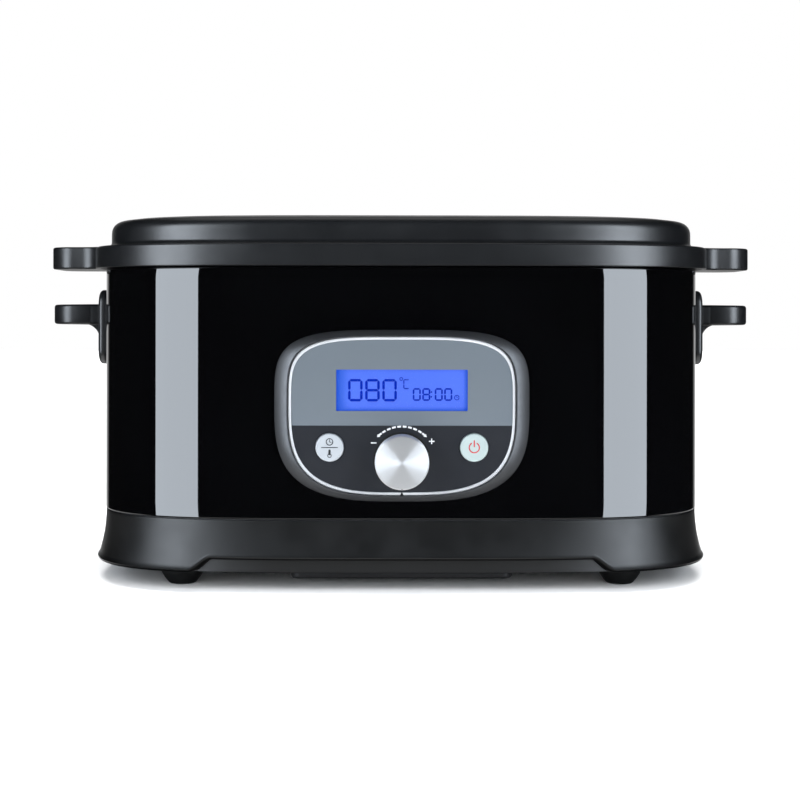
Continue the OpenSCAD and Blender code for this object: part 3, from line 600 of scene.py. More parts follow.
BLACK = (0.0078, 0.0083, 0.0095)
FINISH = {
    # The base's copy of the satin black is rougher, as the real base is, and darkened to 0.12 of it: painted
    # shade.
    "satin_base_painted_shade": make_plastic("satin_base_painted_shade", shift(BLACK, 0.12), 0.38, 0.45, 0.1, 0.8),
    "satin_black_moulding": make_plastic("satin_black", BLACK, 0.31, 0.38, 0.1, 1.0),
    "gloss_black_enamel": make_enamel(),
    "nonstick_aluminium": make_coated_pot(),
    "stainless_wire": make_metal("drawn_wire", (0.62, 0.63, 0.65), 0.12, 0.24),
    "stainless_sheet": make_metal("brushed_sheet", (0.6, 0.61, 0.63), 0.24, 0.36, (1, 14, 14)),
    "galvanised_sheet": make_metal("galvanised", (0.45, 0.46, 0.48), 0.34, 0.5),
    "cast_heater": make_metal("cast_plate", (0.4, 0.41, 0.42), 0.4, 0.55, grain=0.2),
    "element_sheath": make_metal("element_sheath", (0.2, 0.17, 0.15), 0.4, 0.55),
    "silicone_seal": make_plastic("silicone", (0.11, 0.11, 0.115), 0.5, 0.6, 0.05),
    "glass_fibre": make_fleece(),
    "screw_steel": make_metal("screw_steel", (0.55, 0.56, 0.58), 0.25, 0.35),
    # Dark grey of the covers under the base, lifted a little so these shaded parts read lighter: partly
    # their own colour, partly painted light.
    "dark_cover": make_plastic("dark_cover", (0.03, 0.03, 0.032), 0.45, 0.55, 0.2),
    "foot_rubber": make_plastic("foot_rubber", (0.007, 0.007, 0.007), 0.6, 0.75, 0.2),
    "inlet_plastic": make_plastic("inlet_plastic", (0.012, 0.012, 0.013), 0.4, 0.5, 0.15),
    "contact_brass": make_metal("contact_brass", (0.72, 0.62, 0.42), 0.2, 0.3),
    "gunmetal_frame": make_metal("gunmetal", (0.125, 0.128, 0.134), 0.38, 0.46,
                                 grain=0.03, metallic=0.8),
    "silver_trim": make_metal("silver_trim", (0.68, 0.69, 0.71), 0.34, 0.42,
                              grain=0.02, metallic=0.2),
    "button_silver": make_plastic("button_silver", (0.45, 0.48, 0.51), 0.3, 0.4, 0.03),
    "button_pale_green": make_plastic("button_pale", (0.42, 0.5, 0.49), 0.3, 0.4, 0.03),
    "board_green": make_plastic("solder_mask", (0.01, 0.09, 0.035), 0.25, 0.4, 0.04),
    "component_black": make_plastic("component_black", (0.012, 0.012, 0.012), 0.4, 0.5),
    "relay_blue": make_plastic("relay_blue", (0.015, 0.07, 0.25), 0.3, 0.4),
    "transformer_yellow": make_plastic("tape_yellow", (0.5, 0.33, 0.05), 0.35, 0.5),
    "terminal_green": make_plastic("terminal_green", (0.02, 0.16, 0.06), 0.35, 0.45),
    "ribbon_grey": make_plastic("ribbon_grey", (0.4, 0.4, 0.42), 0.4, 0.5),
    "wire_silicone": make_plastic("wire_silicone", (0.4, 0.07, 0.03), 0.45, 0.55),
    "holder_ceramic": make_plastic("ceramic", (0.7, 0.67, 0.6), 0.5, 0.65),
    "fuse_case": make_plastic("fuse_case", (0.7, 0.63, 0.42), 0.5, 0.6),
    "display_lens": make_lens(),
}
WHITE_INK = make_ink("white_ink", (0.86, 0.87, 0.88))
GREY_INK = make_ink("grey_ink", (0.03, 0.034, 0.038))
RED_INK = make_ink("red_ink", (0.62, 0.03, 0.04))
DIGIT_INK = make_lit_ink("digit_ink", (0.0, 0.045, 1.0))


# ---- Base ----

ARCH_H = 7.0
ARCH_FLAT = 101
ARCH_END = 112
FOOT_FLARE = 0.8
SHELF_INSET = 24.0


def arch_rise(x, y):
    """Height of the skirt's lower edge above its lip; it arches over the front and back."""
    f = np.clip((ARCH_END - np.abs(x)) / (ARCH_END - ARCH_FLAT), 0, 1)
    on_long_side = np.abs(y - MID_Y) > HALF_D * 0.7
    return np.where(on_long_side, ARCH_H * f * f * (3 - 2 * f), 0)


def flare(z):
    """Inset of the skirt's outside at a height: a hollow curve that runs out at the foot."""
    f = np.clip((SEAM_Z - z) / (SEAM_Z - SKIRT_Z), 0, 1)
    return -(SKIRT_OUT + FOOT_FLARE) * f**2


def build_base():
    def busy(x, y):
        return 1 + 5 * ((np.abs(x) > ARCH_FLAT - 4) & (np.abs(x) < ARCH_END + 4) & (np.abs(y - MID_Y) > 60))

    angles = even_angles(760, lambda t: plan_xy(t, 0), busy)
    x0, y0 = plan_xy(angles, 0)
    foot = SKIRT_Z + arch_rise(x0, y0)
    lip, wall, top_r = 1.6, 2.6, 0.3
    turns = [math.radians(90 * i / 5) for i in range(6)]
    rings = []

    def add(inset, z):
        x, y = plan_xy(angles, inset)
        rings.append(list(zip(x, y, np.broadcast_to(z, angles.shape))))

    inner = SEAM_Z - 2.5
    add(wall, inner)
    add(wall, foot + 0.4)
    add(flare(foot) + wall - 0.6, foot)
    for t in turns:
        add(flare(foot) + lip * (1 - math.sin(t)), foot + lip * (1 - math.cos(t)))
    for i in range(1, 22):
        z = foot + lip + (SEAM_Z - top_r - foot - lip) * i / 21
        add(flare(z), z)
    for t in turns[1:]:
        add(top_r * (1 - math.cos(t)), SEAM_Z - top_r + top_r * math.sin(t))
    add(SHELF_INSET, SEAM_Z)
    add(SHELF_INSET, inner)
    skirt = new_mesh("base_skirt", *skin(rings, closed=True))
    # The skirt and the arch apron take the base's darkened copy of the satin black: painted shade.
    finish_piece(skirt, "housing", "satin_black_moulding", ["base_shell"], material=FINISH["satin_base_painted_shade"])
    apron_top, apron_foot = SKIRT_Z + ARCH_H + 0.6, SKIRT_Z - 0.2
    apron = plan_loft("arch_apron", [
        (1.2, SKIRT_Z + 0.1), (1.2, apron_top), (2.5, apron_top), (2.5, apron_foot), (1.5, apron_foot),
    ], closed=True)
    finish_piece(apron, "housing", "satin_black_moulding", material=FINISH["satin_base_painted_shade"])
    bosses = []
    for node in FEET:
        centre = (middle(node, 0), middle(node, 1), 0)
        profile = [(2.0, SKIRT_Z + 0.2), (12.7, SKIRT_Z + 0.2), (12.8, SKIRT_Z + 1.9),
                   (5.6, SKIRT_Z + 2.2), (5.0, SKIRT_Z + 3), (5.0, inner + 0.1), (2.0, inner + 0.1)]
        bosses.append(lathe("boss", profile, centre, steps=48))
    finish_piece(join("foot_bosses", bosses), "housing", "satin_black_moulding")


def build_feet():
    for node in FEET:
        low, high = span(node)
        r = (high[0] - low[0]) / 2
        top = high[2]
        centre = (middle(node, 0), middle(node, 1), low[2])
        profile = [(3.2, 0.5), (3.6, 0), (6.3, 0), (6.9, 0.15), (7.6, 0.6), (8.6, 1.7), (10.0, 3.6),
                   (11.2, 5.6), (11.9, 7.2), (r - 0.1, 8.6), (r, 9.6), (r, top - 0.05),
                   (2.4, top - 0.05), (2.4, 5.2), (3.2, 5.0)]
        piece = lathe(node + "_moulded", profile, centre, steps=80)
        finish_piece(piece, "housing", "foot_rubber", [node])


def build_underside():
    low, high = span("bottom_pan")
    edge, foot_hole_r = 3.1, 12.4
    pan = plan_loft("bottom_pan_pressed", [
        (edge + 0.5, low[2]), (edge, low[2] + 0.4), (edge, high[2] - 0.3), (3.4, high[2]),
    ])
    for node in FEET:
        centre = (middle(node, 0), middle(node, 1), 0)
        cut(pan, rod(foot_hole_r, 5, 20, centre))
    slot_size, slot_x, slot_pitch = (30, 5), 98, 18
    slots = []
    for side in (-1, 1):
        for k in range(6):
            outline = rounded_rectangle(*slot_size, 2.4, cx=side * slot_x, cy=MID_Y - 45 + slot_pitch * k)
            slots.append(plate("slot", outline, [(0, 5), (0, 20)], upright))
    cut(pan, join("slots", slots))
    finish_piece(pan, "housing", "galvanised_sheet", ["bottom_pan"], material=FINISH["dark_cover"])

    low, high = span("electronics_cover")
    cx, cy = middle("electronics_cover", 0), middle("electronics_cover", 1)
    width, depth = high[0] - low[0], high[1] - low[1]
    flange_w = 10
    tray = plate("cover_tray", rounded_rectangle(width - 2 * flange_w, depth, 6, cx=cx, cy=cy),
                 edged_profile(low[2], high[2] - 0.1, 1.6)[:9] + [(0, high[2] - 0.05)], upright)
    rim = plate("cover_rim", rounded_rectangle(width, depth, 6, cx=cx, cy=cy),
                edged_profile(high[2] - 1.5, high[2], 0.3), upright)
    vents = []
    vent_pitch = 10
    for k in range(-4, 5):
        outline = rounded_rectangle(4, 40, 1.9, cx=cx + vent_pitch * k, cy=cy + 30)
        vents.append(plate("vent", outline, [(0, low[2] - 2), (0, low[2] + 1.2)], upright))
    cut(tray, join("vents", vents))
    tray = join("electronics_tray", [tray, rim])
    finish_piece(tray, "housing", "dark_cover", ["electronics_cover"])


# ---- Housing ----

PANEL_Z = 101.6


def build_wrap():
    """Painted sheet with a small rolled hem at its foot, standing on a shadow gap."""
    hem_z, hem_r = SEAM_Z + 0.55, 0.8
    outer, inner = WRAP_INSET, WRAP_INSET + 1.0
    levels = [(inner, hem_z + 0.2)]
    levels += bend(outer + hem_r, hem_z + hem_r, hem_r, 84, 0, 8, -1, -1)
    levels += [(outer, hem_z + 8)]
    steps = 14
    rise = WRAP_TOP_Z - hem_z - 9
    levels += [(outer, hem_z + 8 + rise * i / steps) for i in range(1, steps + 1)]
    levels += [(outer + 0.3, WRAP_TOP_Z - 0.05), (inner, WRAP_TOP_Z - 0.05)]
    wrap = plan_loft("housing_sheet", levels, closed=True)
    window = plate("window", panel_outline(3.9, 1.7),
                   [(0, WRAP_LOW[1] - 4), (0, WRAP_LOW[1] + 9)], facing)
    back = span("power_inlet")[1][1]
    opening = plate("opening", rounded_rectangle(27.6, 20.6, 1, cx=0, cy=middle("power_inlet", 2)),
                    [(0, back - 9), (0, back + 5)], facing)
    cut(wrap, window, opening)
    finish_piece(wrap, "housing", "gloss_black_enamel", ["housing_wrap"], degrees=30)
    gap = plan_loft("seam_gasket", [
        (inner + 0.05, SEAM_Z + 0.02), (inner + 0.05, hem_z + 1.2), (inner + 3, hem_z + 1.2),
        (inner + 3, SEAM_Z + 0.02),
    ], closed=True)
    finish_piece(gap, "housing", "satin_black_moulding", material=FINISH["dark_cover"])


def build_collar():
    low, high = span("top_collar")
    foot, top = low[2] + 0.1, high[2]
    outer, inside = WRAP_INSET - 0.8, WRAP_INSET + 1.3
    opening = 27.5
    levels = [(opening, foot), (inside, foot), (inside, WRAP_TOP_Z + 0.02), (outer, WRAP_TOP_Z + 0.02)]
    levels += bend(outer + 1.2, top - 1.2, 1.2, 0, 90, 5, -1, 1)
    levels += [(17.4, top), (17.7, top - 0.5), (26.5, top - 0.5)]
    levels += bend(opening - 1.0, top - 1.5, 1.0, 90, 0, 4)
    collar = plan_loft("pot_collar", levels, closed=True)
    finish_piece(collar, "housing", "satin_black_moulding", ["top_collar"])


def build_handles():
    """Side handles: an upright plate on a spacer, with a ledge that tapers to its tip."""
    low, high = span("handle_right")
    plate_x, plate_t = 174.0, 5.6
    root = plate_x + plate_t
    tip = high[0]
    half = (high[1] - low[1]) / 2
    top = 155
    web_low = top - 12.2
    plate_w, plate_h = 54, high[2] - low[2]
    handle = plate("upright", rounded_rectangle(plate_w, plate_h, 9, 14, 0, (low[2] + high[2]) / 2),
                   edged_profile(plate_x, root, 2.3, 8), sideways)
    root_curve = [(root - 1.5, half - 4), (root + 0.6, half - 3.2), (root + 2.6, half - 0.8),
                  (root + 5, half)]
    tip_r = 13
    outline = [(u, -v) for u, v in root_curve]
    outline += arc(tip - tip_r, -half + tip_r, tip_r, -90, 0, 16)
    outline += arc(tip - tip_r, half - tip_r, tip_r, 0, 90, 16)
    outline += root_curve[::-1]

    def ledge_place(u, v, h):
        f = (u - root) / (tip - root)
        upper = top - 0.3 * f
        lower = web_low + 0.4 * f
        return u, MID_Y + v, lower + (upper - lower) * h

    profile = [(1.5, 0), (0.75, 0.02), (0.2, 0.07), (0, 0.14),
               (0, 0.86), (0.2, 0.93), (0.75, 0.98), (1.5, 1)]
    ledge = plate("ledge", outline, profile, ledge_place)
    # A web with a hollow curve under the ledge's root; its section shrinks towards the web's ends.
    web_x, web_z, web_r = root - 1.5, web_low + 1.5, 9
    section = [(web_x, web_z), (web_x, web_low - 8.5)]
    section += arc(root + web_r, web_low - 8.6, web_r, 180, 90, 12)
    section += [(root + web_r, web_z)]
    rings = []
    for v, f in ((-half + 7, 0.82), (-half + 7.8, 0.95), (-half + 9, 1), (half - 9, 1),
                 (half - 7.8, 0.95), (half - 7, 0.82)):
        rings.append([(web_x + (x - web_x) * f, MID_Y + v, web_z + (z - web_z) * f) for x, z in section])
    web = new_mesh("web", *skin(rings))
    spacer_z = 148
    spacer = plate("spacer", rounded_rectangle(42, 14, 5, 8, 0, spacer_z),
                   [(0, 167.5), (0, 173), (0.7, 174.4)], sideways)
    for part in (ledge, web, spacer):
        combine(handle, part, "UNION")
    handle.name = "side_handle_right"
    for piece, side in ((handle, "right"), (mirrored(handle, "side_handle_left"), "left")):
        finish_piece(piece, "housing", "satin_black_moulding", ["handle_" + side], 35)


def build_inlet():
    low, high = span("power_inlet")
    cz = middle("power_inlet", 2)
    back = high[1]
    surround_h, screw_x = 3.4, 20
    seat = back - surround_h
    body = plate("flange", rounded_rectangle(50, 23, 4, 8, 0, cz),
                 [(0, seat - 2), (0, seat - 0.6), (0.2, seat - 0.15), (0.7, seat)], facing)
    surround = plate("surround", rounded_rectangle(30.5, 22.5, 3, 6, 0, cz),
                     [(0, seat - 1), (0, back - 0.6), (0.2, back - 0.15), (0.7, back)], facing)
    inside = plate("inlet_body", rounded_rectangle(27, 20, 2, 5, 0, cz),
                   [(0, low[1]), (0, back - 1)], facing)
    for part in (surround, inside):
        combine(body, part, "UNION")
    x, z, corner = 12.25, 8.25, 4.6
    well = [(-x, cz - z), (x, cz - z), (x, cz + z - corner),
            (x - corner, cz + z), (-x + corner, cz + z), (-x, cz + z - corner)]
    cut(body, plate("well", well, [(0, back - 14), (0, back + 2)], facing))
    for side in (-1, 1):
        cut(body, rod(1.7, -6, 1, (side * screw_x, seat, cz), "Y", 32))
    body.name = "appliance_inlet"
    finish_piece(body, "housing", "inlet_plastic", ["power_inlet"])


# ---- Lid ----


def build_lid():
    """Moulding with a flat rim, a groove above it and a low dome, open underneath."""
    shoulder, dome = 6.5, 2.5
    inner = -RIM_OUT + 2.5
    levels = [(5.5, RIM_TOP_Z - 2.5), (inner + 0.6, RIM_TOP_Z - 2.5), (inner, RIM_TOP_Z - 3.1),
              (inner, RIM_Z + 0.4), (inner - 0.2, RIM_Z + 0.05), (inner - 0.5, RIM_Z)]
    levels += bend(-RIM_OUT + 0.5, RIM_Z + 0.5, 0.5, 90, 0, 4, -1, -1)
    levels += [(-RIM_OUT, RIM_Z + 4), (-RIM_OUT, RIM_TOP_Z - 4)]
    levels += bend(-RIM_OUT + 1.3, RIM_TOP_Z - 1.3, 1.3, 0, 78, 6, -1, 1)
    groove_r = 2.6
    levels += bend(dome - groove_r, RIM_TOP_Z + 0.4 + groove_r, groove_r, 96, 4, 9, 1, -1)
    top = LID_TOP_Z - 2.2
    levels += [(dome + 0.02, top - shoulder - 1.5)]
    levels += bend(dome + 0.1 + shoulder, top - shoulder, shoulder, 4, 80, 16, -1, 1)
    levels += [(dome + 8.4, top + 0.33), (dome + 11.5, top + 0.85), (dome + 17, top + 1.33),
               (dome + 26, top + 1.72), (dome + 42, top + 2.03), (dome + 66, top + 2.16),
               (dome + 95, LID_TOP_Z), (dome + 118, LID_TOP_Z)]
    shell = plan_loft("lid_moulding", levels, caps=(False, True))
    inside = plan_loft("lid_inside", [(5.5, RIM_TOP_Z - 2.5), (5.7, RIM_TOP_Z + 6), (11, RIM_TOP_Z + 11),
                                      (30, LID_TOP_Z - 3.4), (100, LID_TOP_Z - 3)], caps=(False, True))
    shell = join("lid_moulding", [shell, inside])
    weld(shell.data)
    finish_piece(shell, "lid", "satin_black_moulding", ["lid_shell"], 40)


def build_lid_grips():
    low, high = span("lid_grip_right")
    tip = high[0]
    root = HALF_W + RIM_OUT
    half = 28.0
    z0, z1 = low[2], high[2]
    blend_r, tip_r = 12, 14
    outline = [(root - 5, -half - blend_r), (root + 0.2, -half - blend_r)]
    outline += arc(root + blend_r, -half - blend_r, blend_r, 172, 90, 8)
    outline += arc(tip - tip_r, -half + tip_r, tip_r, -90, 0, 18)
    outline += arc(tip - tip_r, half - tip_r, tip_r, 0, 90, 18)
    outline += arc(root + blend_r, half + blend_r, blend_r, -90, -172, 8)
    outline += [(root + 0.2, half + blend_r), (root - 5, half + blend_r)]

    def place(u, v, h):
        return u, MID_Y + v, h

    grip = plate("lid_grip_r", outline, edged_profile(z0, z1, 1.2, 5), place)
    rim = plan_loft("rim_solid", [(-RIM_OUT, RIM_Z - 5), (-RIM_OUT, RIM_TOP_Z + 8)])
    cut(grip, rim)
    for piece, side in ((grip, "right"), (mirrored(grip, "lid_grip_l"), "left")):
        finish_piece(piece, "lid", "satin_black_moulding", ["lid_grip_" + side], 35)


def build_lid_inside():
    low, high = span("lid_inner_pan")
    z = low[2]
    levels = [(7.6, z + 0.1), (7.0, z + 0.5), (7.0, high[2]), (7.7, high[2]), (7.8, z + 1.4)]
    levels += [(inset, z + 1.2) for inset in (10, 26, 30, 60, 119)]
    top = plan_loft("pan_top", levels, caps=(False, True))
    levels = [(7.6, z + 0.1), (9, z), (26.5, z), (29, z + 0.5)]
    levels += [(inset, z + 0.55) for inset in (32, 60, 119)]
    under = plan_loft("pan_under", levels, caps=(False, True))
    pan = join("lid_liner", [top, under])
    weld(pan.data)
    finish_piece(pan, "lid", "stainless_sheet", ["lid_inner_pan"], 40)
    low, high = span("lid_gasket")
    z0, z1 = low[2], high[2]
    bead_r = 0.9
    levels = [(19, z1), (19.2, z0 + 1.2)]
    levels += bend(20.4, z0 + bead_r, bead_r, 180, 0, 8, 1, -1)
    levels += [(21.8, z0 + 1.1), (22.4, z0 + 1.1)]
    levels += bend(23.6, z0 + bead_r, bead_r, 180, 0, 8, 1, -1)
    levels += [(25, z0 + 1.2), (25, z1)]
    seal = plan_loft("lid_seal", levels, closed=True)
    finish_piece(seal, "lid", "silicone_seal", ["lid_gasket"], 40)


# ---- Pot and rack ----


def build_pot():
    low, high = span("inner_pot")
    inset = 29.5
    z0, z1 = low[2], high[2]
    wall = 1.5
    outer_r, inner_r = 9.0, 8.0
    levels = [(inset + 40, z0 + 0.4), (inset + 16, z0 + 0.1)]
    levels += bend(inset + outer_r, z0 + outer_r, outer_r, 88, 0, 10, -1, -1)
    levels += [(inset, z1 - 4), (inset - 0.3, z1 - 2.6), (inset - 1.6, z1 - wall), (19, z1 - wall)]
    levels += [(18.1, z1 - wall + 0.15), (18, z1 - 0.75), (18.1, z1 - 0.15), (18.6, z1)]
    levels += [(inset - 1.4, z1), (inset + 0.3, z1 - 0.4), (inset + wall, z1 - 2),
               (inset + wall, z0 + wall + inner_r)]
    levels += bend(inset + wall + inner_r, z0 + wall + inner_r, inner_r, 0, 88, 10, -1, -1)
    levels += [(inset + 18, z0 + wall + 0.1), (inset + 40, z0 + wall + 0.35)]
    pot = plan_loft("cooking_pot", levels)
    finish_piece(pot, "pot", "nonstick_aluminium", ["inner_pot"], 40)


def build_rack():
    low, high = span("rack_base")
    r = 1.5
    z = low[2] + r
    x1, y1 = high[0] - r, high[1] - MID_Y - r
    corner = 8
    frame_path = [(x, MID_Y + y, z) for x, y in rounded_rectangle(2 * x1, 2 * y1, corner, 6)]
    wires = [tube("w", drop_repeats(frame_path), r, closed=True)]
    for k in (-1, 0, 1):
        y = MID_Y + k * y1 / 2
        wires.append(tube("w", [(-x1, y, z), (x1, y, z)], r * 0.98))
    for k in range(-3, 4):
        x = k * x1 / 4
        wires.append(tube("w", [(x, MID_Y - y1, z), (x, MID_Y + y1, z)], r * 0.96))
    finish_piece(join("rack_floor", wires), "rack", "stainless_wire", ["rack_base"], 40)
    for index in range(1, 5):
        node = "rack_divider_%d" % index
        low, high = span(node)
        x = (low[0] + high[0]) / 2
        foot, top = low[2], high[2] - r
        front, back = MID_Y - y1, MID_Y + y1
        hoop = rounded_path([(x, front, foot), (x, front, top), (x, back, top), (x, back, foot)], 9)
        parts = [tube("w", hoop, r)]
        for k in (-1, 0, 1):
            y = MID_Y + k * y1 / 2
            parts.append(tube("w", [(x, y, foot), (x, y, top)], r * 0.97))
        for k in (1, 2):
            zk = foot + (top - foot) * k / 3
            parts.append(tube("w", [(x, front, zk), (x, back, zk)], r * 0.94))
        finish_piece(join(node + "_wires", parts), "rack", "stainless_wire", [node], 40)


# ---- Control panel ----

BEZEL_LOW, BEZEL_HIGH = span("panel_bezel")
PANEL_HALF_W = (BEZEL_HIGH[0] - BEZEL_LOW[0]) / 2
PANEL_UP = BEZEL_HIGH[2] - PANEL_Z
PANEL_DOWN = PANEL_Z - BEZEL_LOW[2]
PANEL_N_UP = 4.0
PANEL_N_DOWN = 3.15
RING_SIDE = 7.55
RING_END = 3.65
RING_W = 1.5
FACE_Y = span("panel_face")[0][1]


def panel_curve(angles, side, end):
    """Panel outline, brought in by side across and by end above and below."""
    s = np.sin(angles)
    n = np.where(s > 0, PANEL_N_UP, PANEL_N_DOWN)
    height = np.where(s > 0, PANEL_UP, PANEL_DOWN) - end
    x = (PANEL_HALF_W - side) * spow(np.cos(angles), 2 / n)
    return x, PANEL_Z + height * spow(s, 2 / n)


PANEL_ANGLES = even_angles(360, lambda t: panel_curve(t, 0, 0))


def panel_outline(side, end):
    x, z = panel_curve(PANEL_ANGLES, side, end)
    return list(zip(x, z))


def wrap_front(x):
    """Y of the wrap's front face at X."""
    a, b = HALF_W - WRAP_INSET, HALF_D - WRAP_INSET
    return MID_Y - b * (1 - np.abs(x / a) ** PLAN_N) ** (1 / PLAN_N)


def build_bezel():
    """Raised frame round the panel, crowned from the wrap to a lip beside the silver ring."""
    rings = []

    def add(f, y, on_wrap=0.0):
        x, z = panel_curve(PANEL_ANGLES, RING_SIDE * f, RING_END * f)
        depth = np.broadcast_to(y, x.shape) * (1 - on_wrap) + on_wrap * (wrap_front(x) - 0.02)
        rings.append(list(zip(x, depth, z)))

    crown = BEZEL_LOW[1]
    add(0.0, crown, 1.0)
    add(0.0, crown + 4.5)
    for i in range(11):
        t = i / 10
        add(0.03 + 0.84 * t, crown + 2.6 * (1 - t) + 1.5 * (1 - t) ** 2)
    for f, y in ((0.91, crown + 0.2), (0.95, crown + 0.7), (0.965, crown + 1.1), (0.965, FACE_Y + 2.4),
                 (0.2, FACE_Y + 3.1)):
        add(f, y)
    bezel = new_mesh("panel_frame", *skin(rings, closed=True))
    finish_piece(bezel, "housing", "gunmetal_frame", ["panel_bezel"], 40)


def build_ring():
    rings = []
    low, high = span("panel_trim_ring")
    for f, y in ((0.0, high[1] - 0.3), (0.0, low[1] + 0.45), (0.12, low[1] + 0.16), (0.34, low[1]),
                 (0.66, low[1]), (0.88, low[1] + 0.16), (1.0, low[1] + 0.45), (1.0, high[1] - 0.3)):
        outline = panel_outline(RING_SIDE + RING_W * f, RING_END + RING_W * f)
        rings.append([(x, y, z) for x, z in outline])
    ring = new_mesh("silver_ring", *skin(rings, closed=True))
    finish_piece(ring, "housing", "silver_trim", ["panel_trim_ring"], 40)


KNOB_Z = middle("knob_cap", 2)
BUTTON_Z = middle("button_mode", 2)
BUTTON_X = abs(middle("button_mode", 0))
LCD_LOW, LCD_HIGH = span("lcd_window")
LCD_Z = (LCD_LOW[2] + LCD_HIGH[2]) / 2
LCD_W = LCD_HIGH[0] - LCD_LOW[0]
LCD_H = LCD_HIGH[2] - LCD_LOW[2]


def build_face():
    border = RING_W - 0.12
    face = plate("face_plate", panel_outline(RING_SIDE + border, RING_END + border),
                 [(0, FACE_Y + 2), (0, FACE_Y + 0.02)], facing)
    front, back = FACE_Y - 3, FACE_Y + 6
    for x, z, r in ((-BUTTON_X, BUTTON_Z, 7.8), (BUTTON_X, BUTTON_Z, 7.8), (0, KNOB_Z, 3.7)):
        cut(face, rod(r, front, back, (x, 0, z), "Y", 96))
    window = rounded_rectangle(LCD_W, LCD_H, 0.4, 3, 0, LCD_Z)
    cut(face, plate("window", window, [(0, front), (0, back)], facing))
    split_z = PANEL_Z - 11.6
    printed = make_face_print(split_z, PANEL_Z + PANEL_UP)
    finish_piece(face, "housing", "panel_print", ["panel_face"], 30, material=printed)
    low, high = span("lcd_module")
    glow = make_display(LCD_LOW, LCD_HIGH)
    cell = plate("display_cell", rounded_rectangle(high[0] - low[0], high[2] - low[2], 1, 3, 0, LCD_Z),
                 edged_profile(low[1], high[1], 0.3, 2), facing)
    finish_piece(cell, "housing", "display_glow", ["lcd_module"], material=glow)
    lens = plate("display_lens_sheet", rounded_rectangle(LCD_W - 0.1, LCD_H - 0.1, 0.4, 3, 0, LCD_Z),
                 edged_profile(LCD_LOW[1] + 0.2, LCD_HIGH[1], 0.15, 2), facing)
    finish_piece(lens, "housing", "display_lens", ["lcd_window"])


def thin_mark(outline, y, depth=0.1):
    """Thin printed shape facing the front, from an outline in X and Z."""
    return plate("mark", outline, [(0, y), (0, y - depth)], facing)


def bar_outline(x0, z0, x1, z1, width, point=0.0):
    """Straight stroke, with pointed ends if point is more than zero."""
    along = Vector((x1 - x0, z1 - z0)).normalized()
    side = Vector((-along.y, along.x)) * width / 2
    a, b = Vector((x0, z0)), Vector((x1, z1))
    corners = (a - side, b - side, b + side, a + side)
    if point:
        c, d = a + along * point, b - along * point
        corners = (a, c - side, d - side, b, d + side, c + side)
    return [tuple(p) for p in corners]


def line_mark(x0, z0, x1, z1, width, y):
    return thin_mark(bar_outline(x0, z0, x1, z1, width), y)


SEGMENTS = {"0": "abcdef", "8": "abcdefg", "C": "adef"}


def digit_marks(text, x, z, w, h, stroke, y):
    """Seven-segment figure with its lower left corner at x, z."""
    ends = {
        "a": (0, h, w, h), "g": (0, h / 2, w, h / 2), "d": (0, 0, w, 0),
        "f": (0, h / 2, 0, h), "b": (w, h / 2, w, h), "e": (0, 0, 0, h / 2), "c": (w, 0, w, h / 2),
    }
    made = []
    gap = stroke * 0.1
    for name in SEGMENTS[text]:
        x0, z0, x1, z1 = ends[name]
        along = Vector((x1 - x0, z1 - z0)).normalized() * gap
        outline = bar_outline(x + x0 + along.x, z + z0 + along.y, x + x1 - along.x, z + z1 - along.y,
                              stroke, stroke / 2)
        made.append(thin_mark(outline, y))
    return made


def ring_mark(x, z, r, width, start, end, y, steps=24):
    """Part of a ring, as one flat mark."""
    outer = arc(x, z, r + width / 2, start, end, steps)
    inner = arc(x, z, r - width / 2, end, start, steps)
    return thin_mark(outer + inner, y)


def build_display_marks():
    y = span("lcd_module")[0][1] + 0.02
    left = LCD_LOW[0]
    marks = []
    foot = LCD_Z - 5.3
    for k, text in enumerate("080"):
        marks += digit_marks(text, left + 7.0 + 9.1 * k, foot, 6.4, 10.6, 1.3, y)
    degree_x = left + 34.6
    marks.append(ring_mark(degree_x, LCD_Z + 6.0, 0.75, 0.42, 0, 352, y))
    marks += digit_marks("C", degree_x + 1.4, LCD_Z + 0.9, 2.7, 4.7, 0.55, y)
    small_x = left + 41.2
    for k, text in enumerate("0800"):
        extra = 1.6 if k > 1 else 0
        marks += digit_marks(text, small_x + 5.05 * k + extra, foot + 0.1, 3.4, 5.9, 0.86, y)
    colon_x = small_x + 9.45
    for dz in (1.7, 4.3):
        marks.append(thin_mark(rounded_rectangle(0.85, 0.85, 0.3, 3, colon_x, foot + 0.1 + dz), y))
    x, z = left + 64.2, foot + 1.4
    marks += [
        ring_mark(x, z, 1.2, 0.42, 0, 356, y),
        line_mark(x, z, x, z + 0.8, 0.25, y),
        line_mark(x, z, x + 0.6, z, 0.25, y),
    ]
    piece = join("display_figures", marks)
    finish_piece(piece, "housing", "display_glow", degrees=0, material=DIGIT_INK)


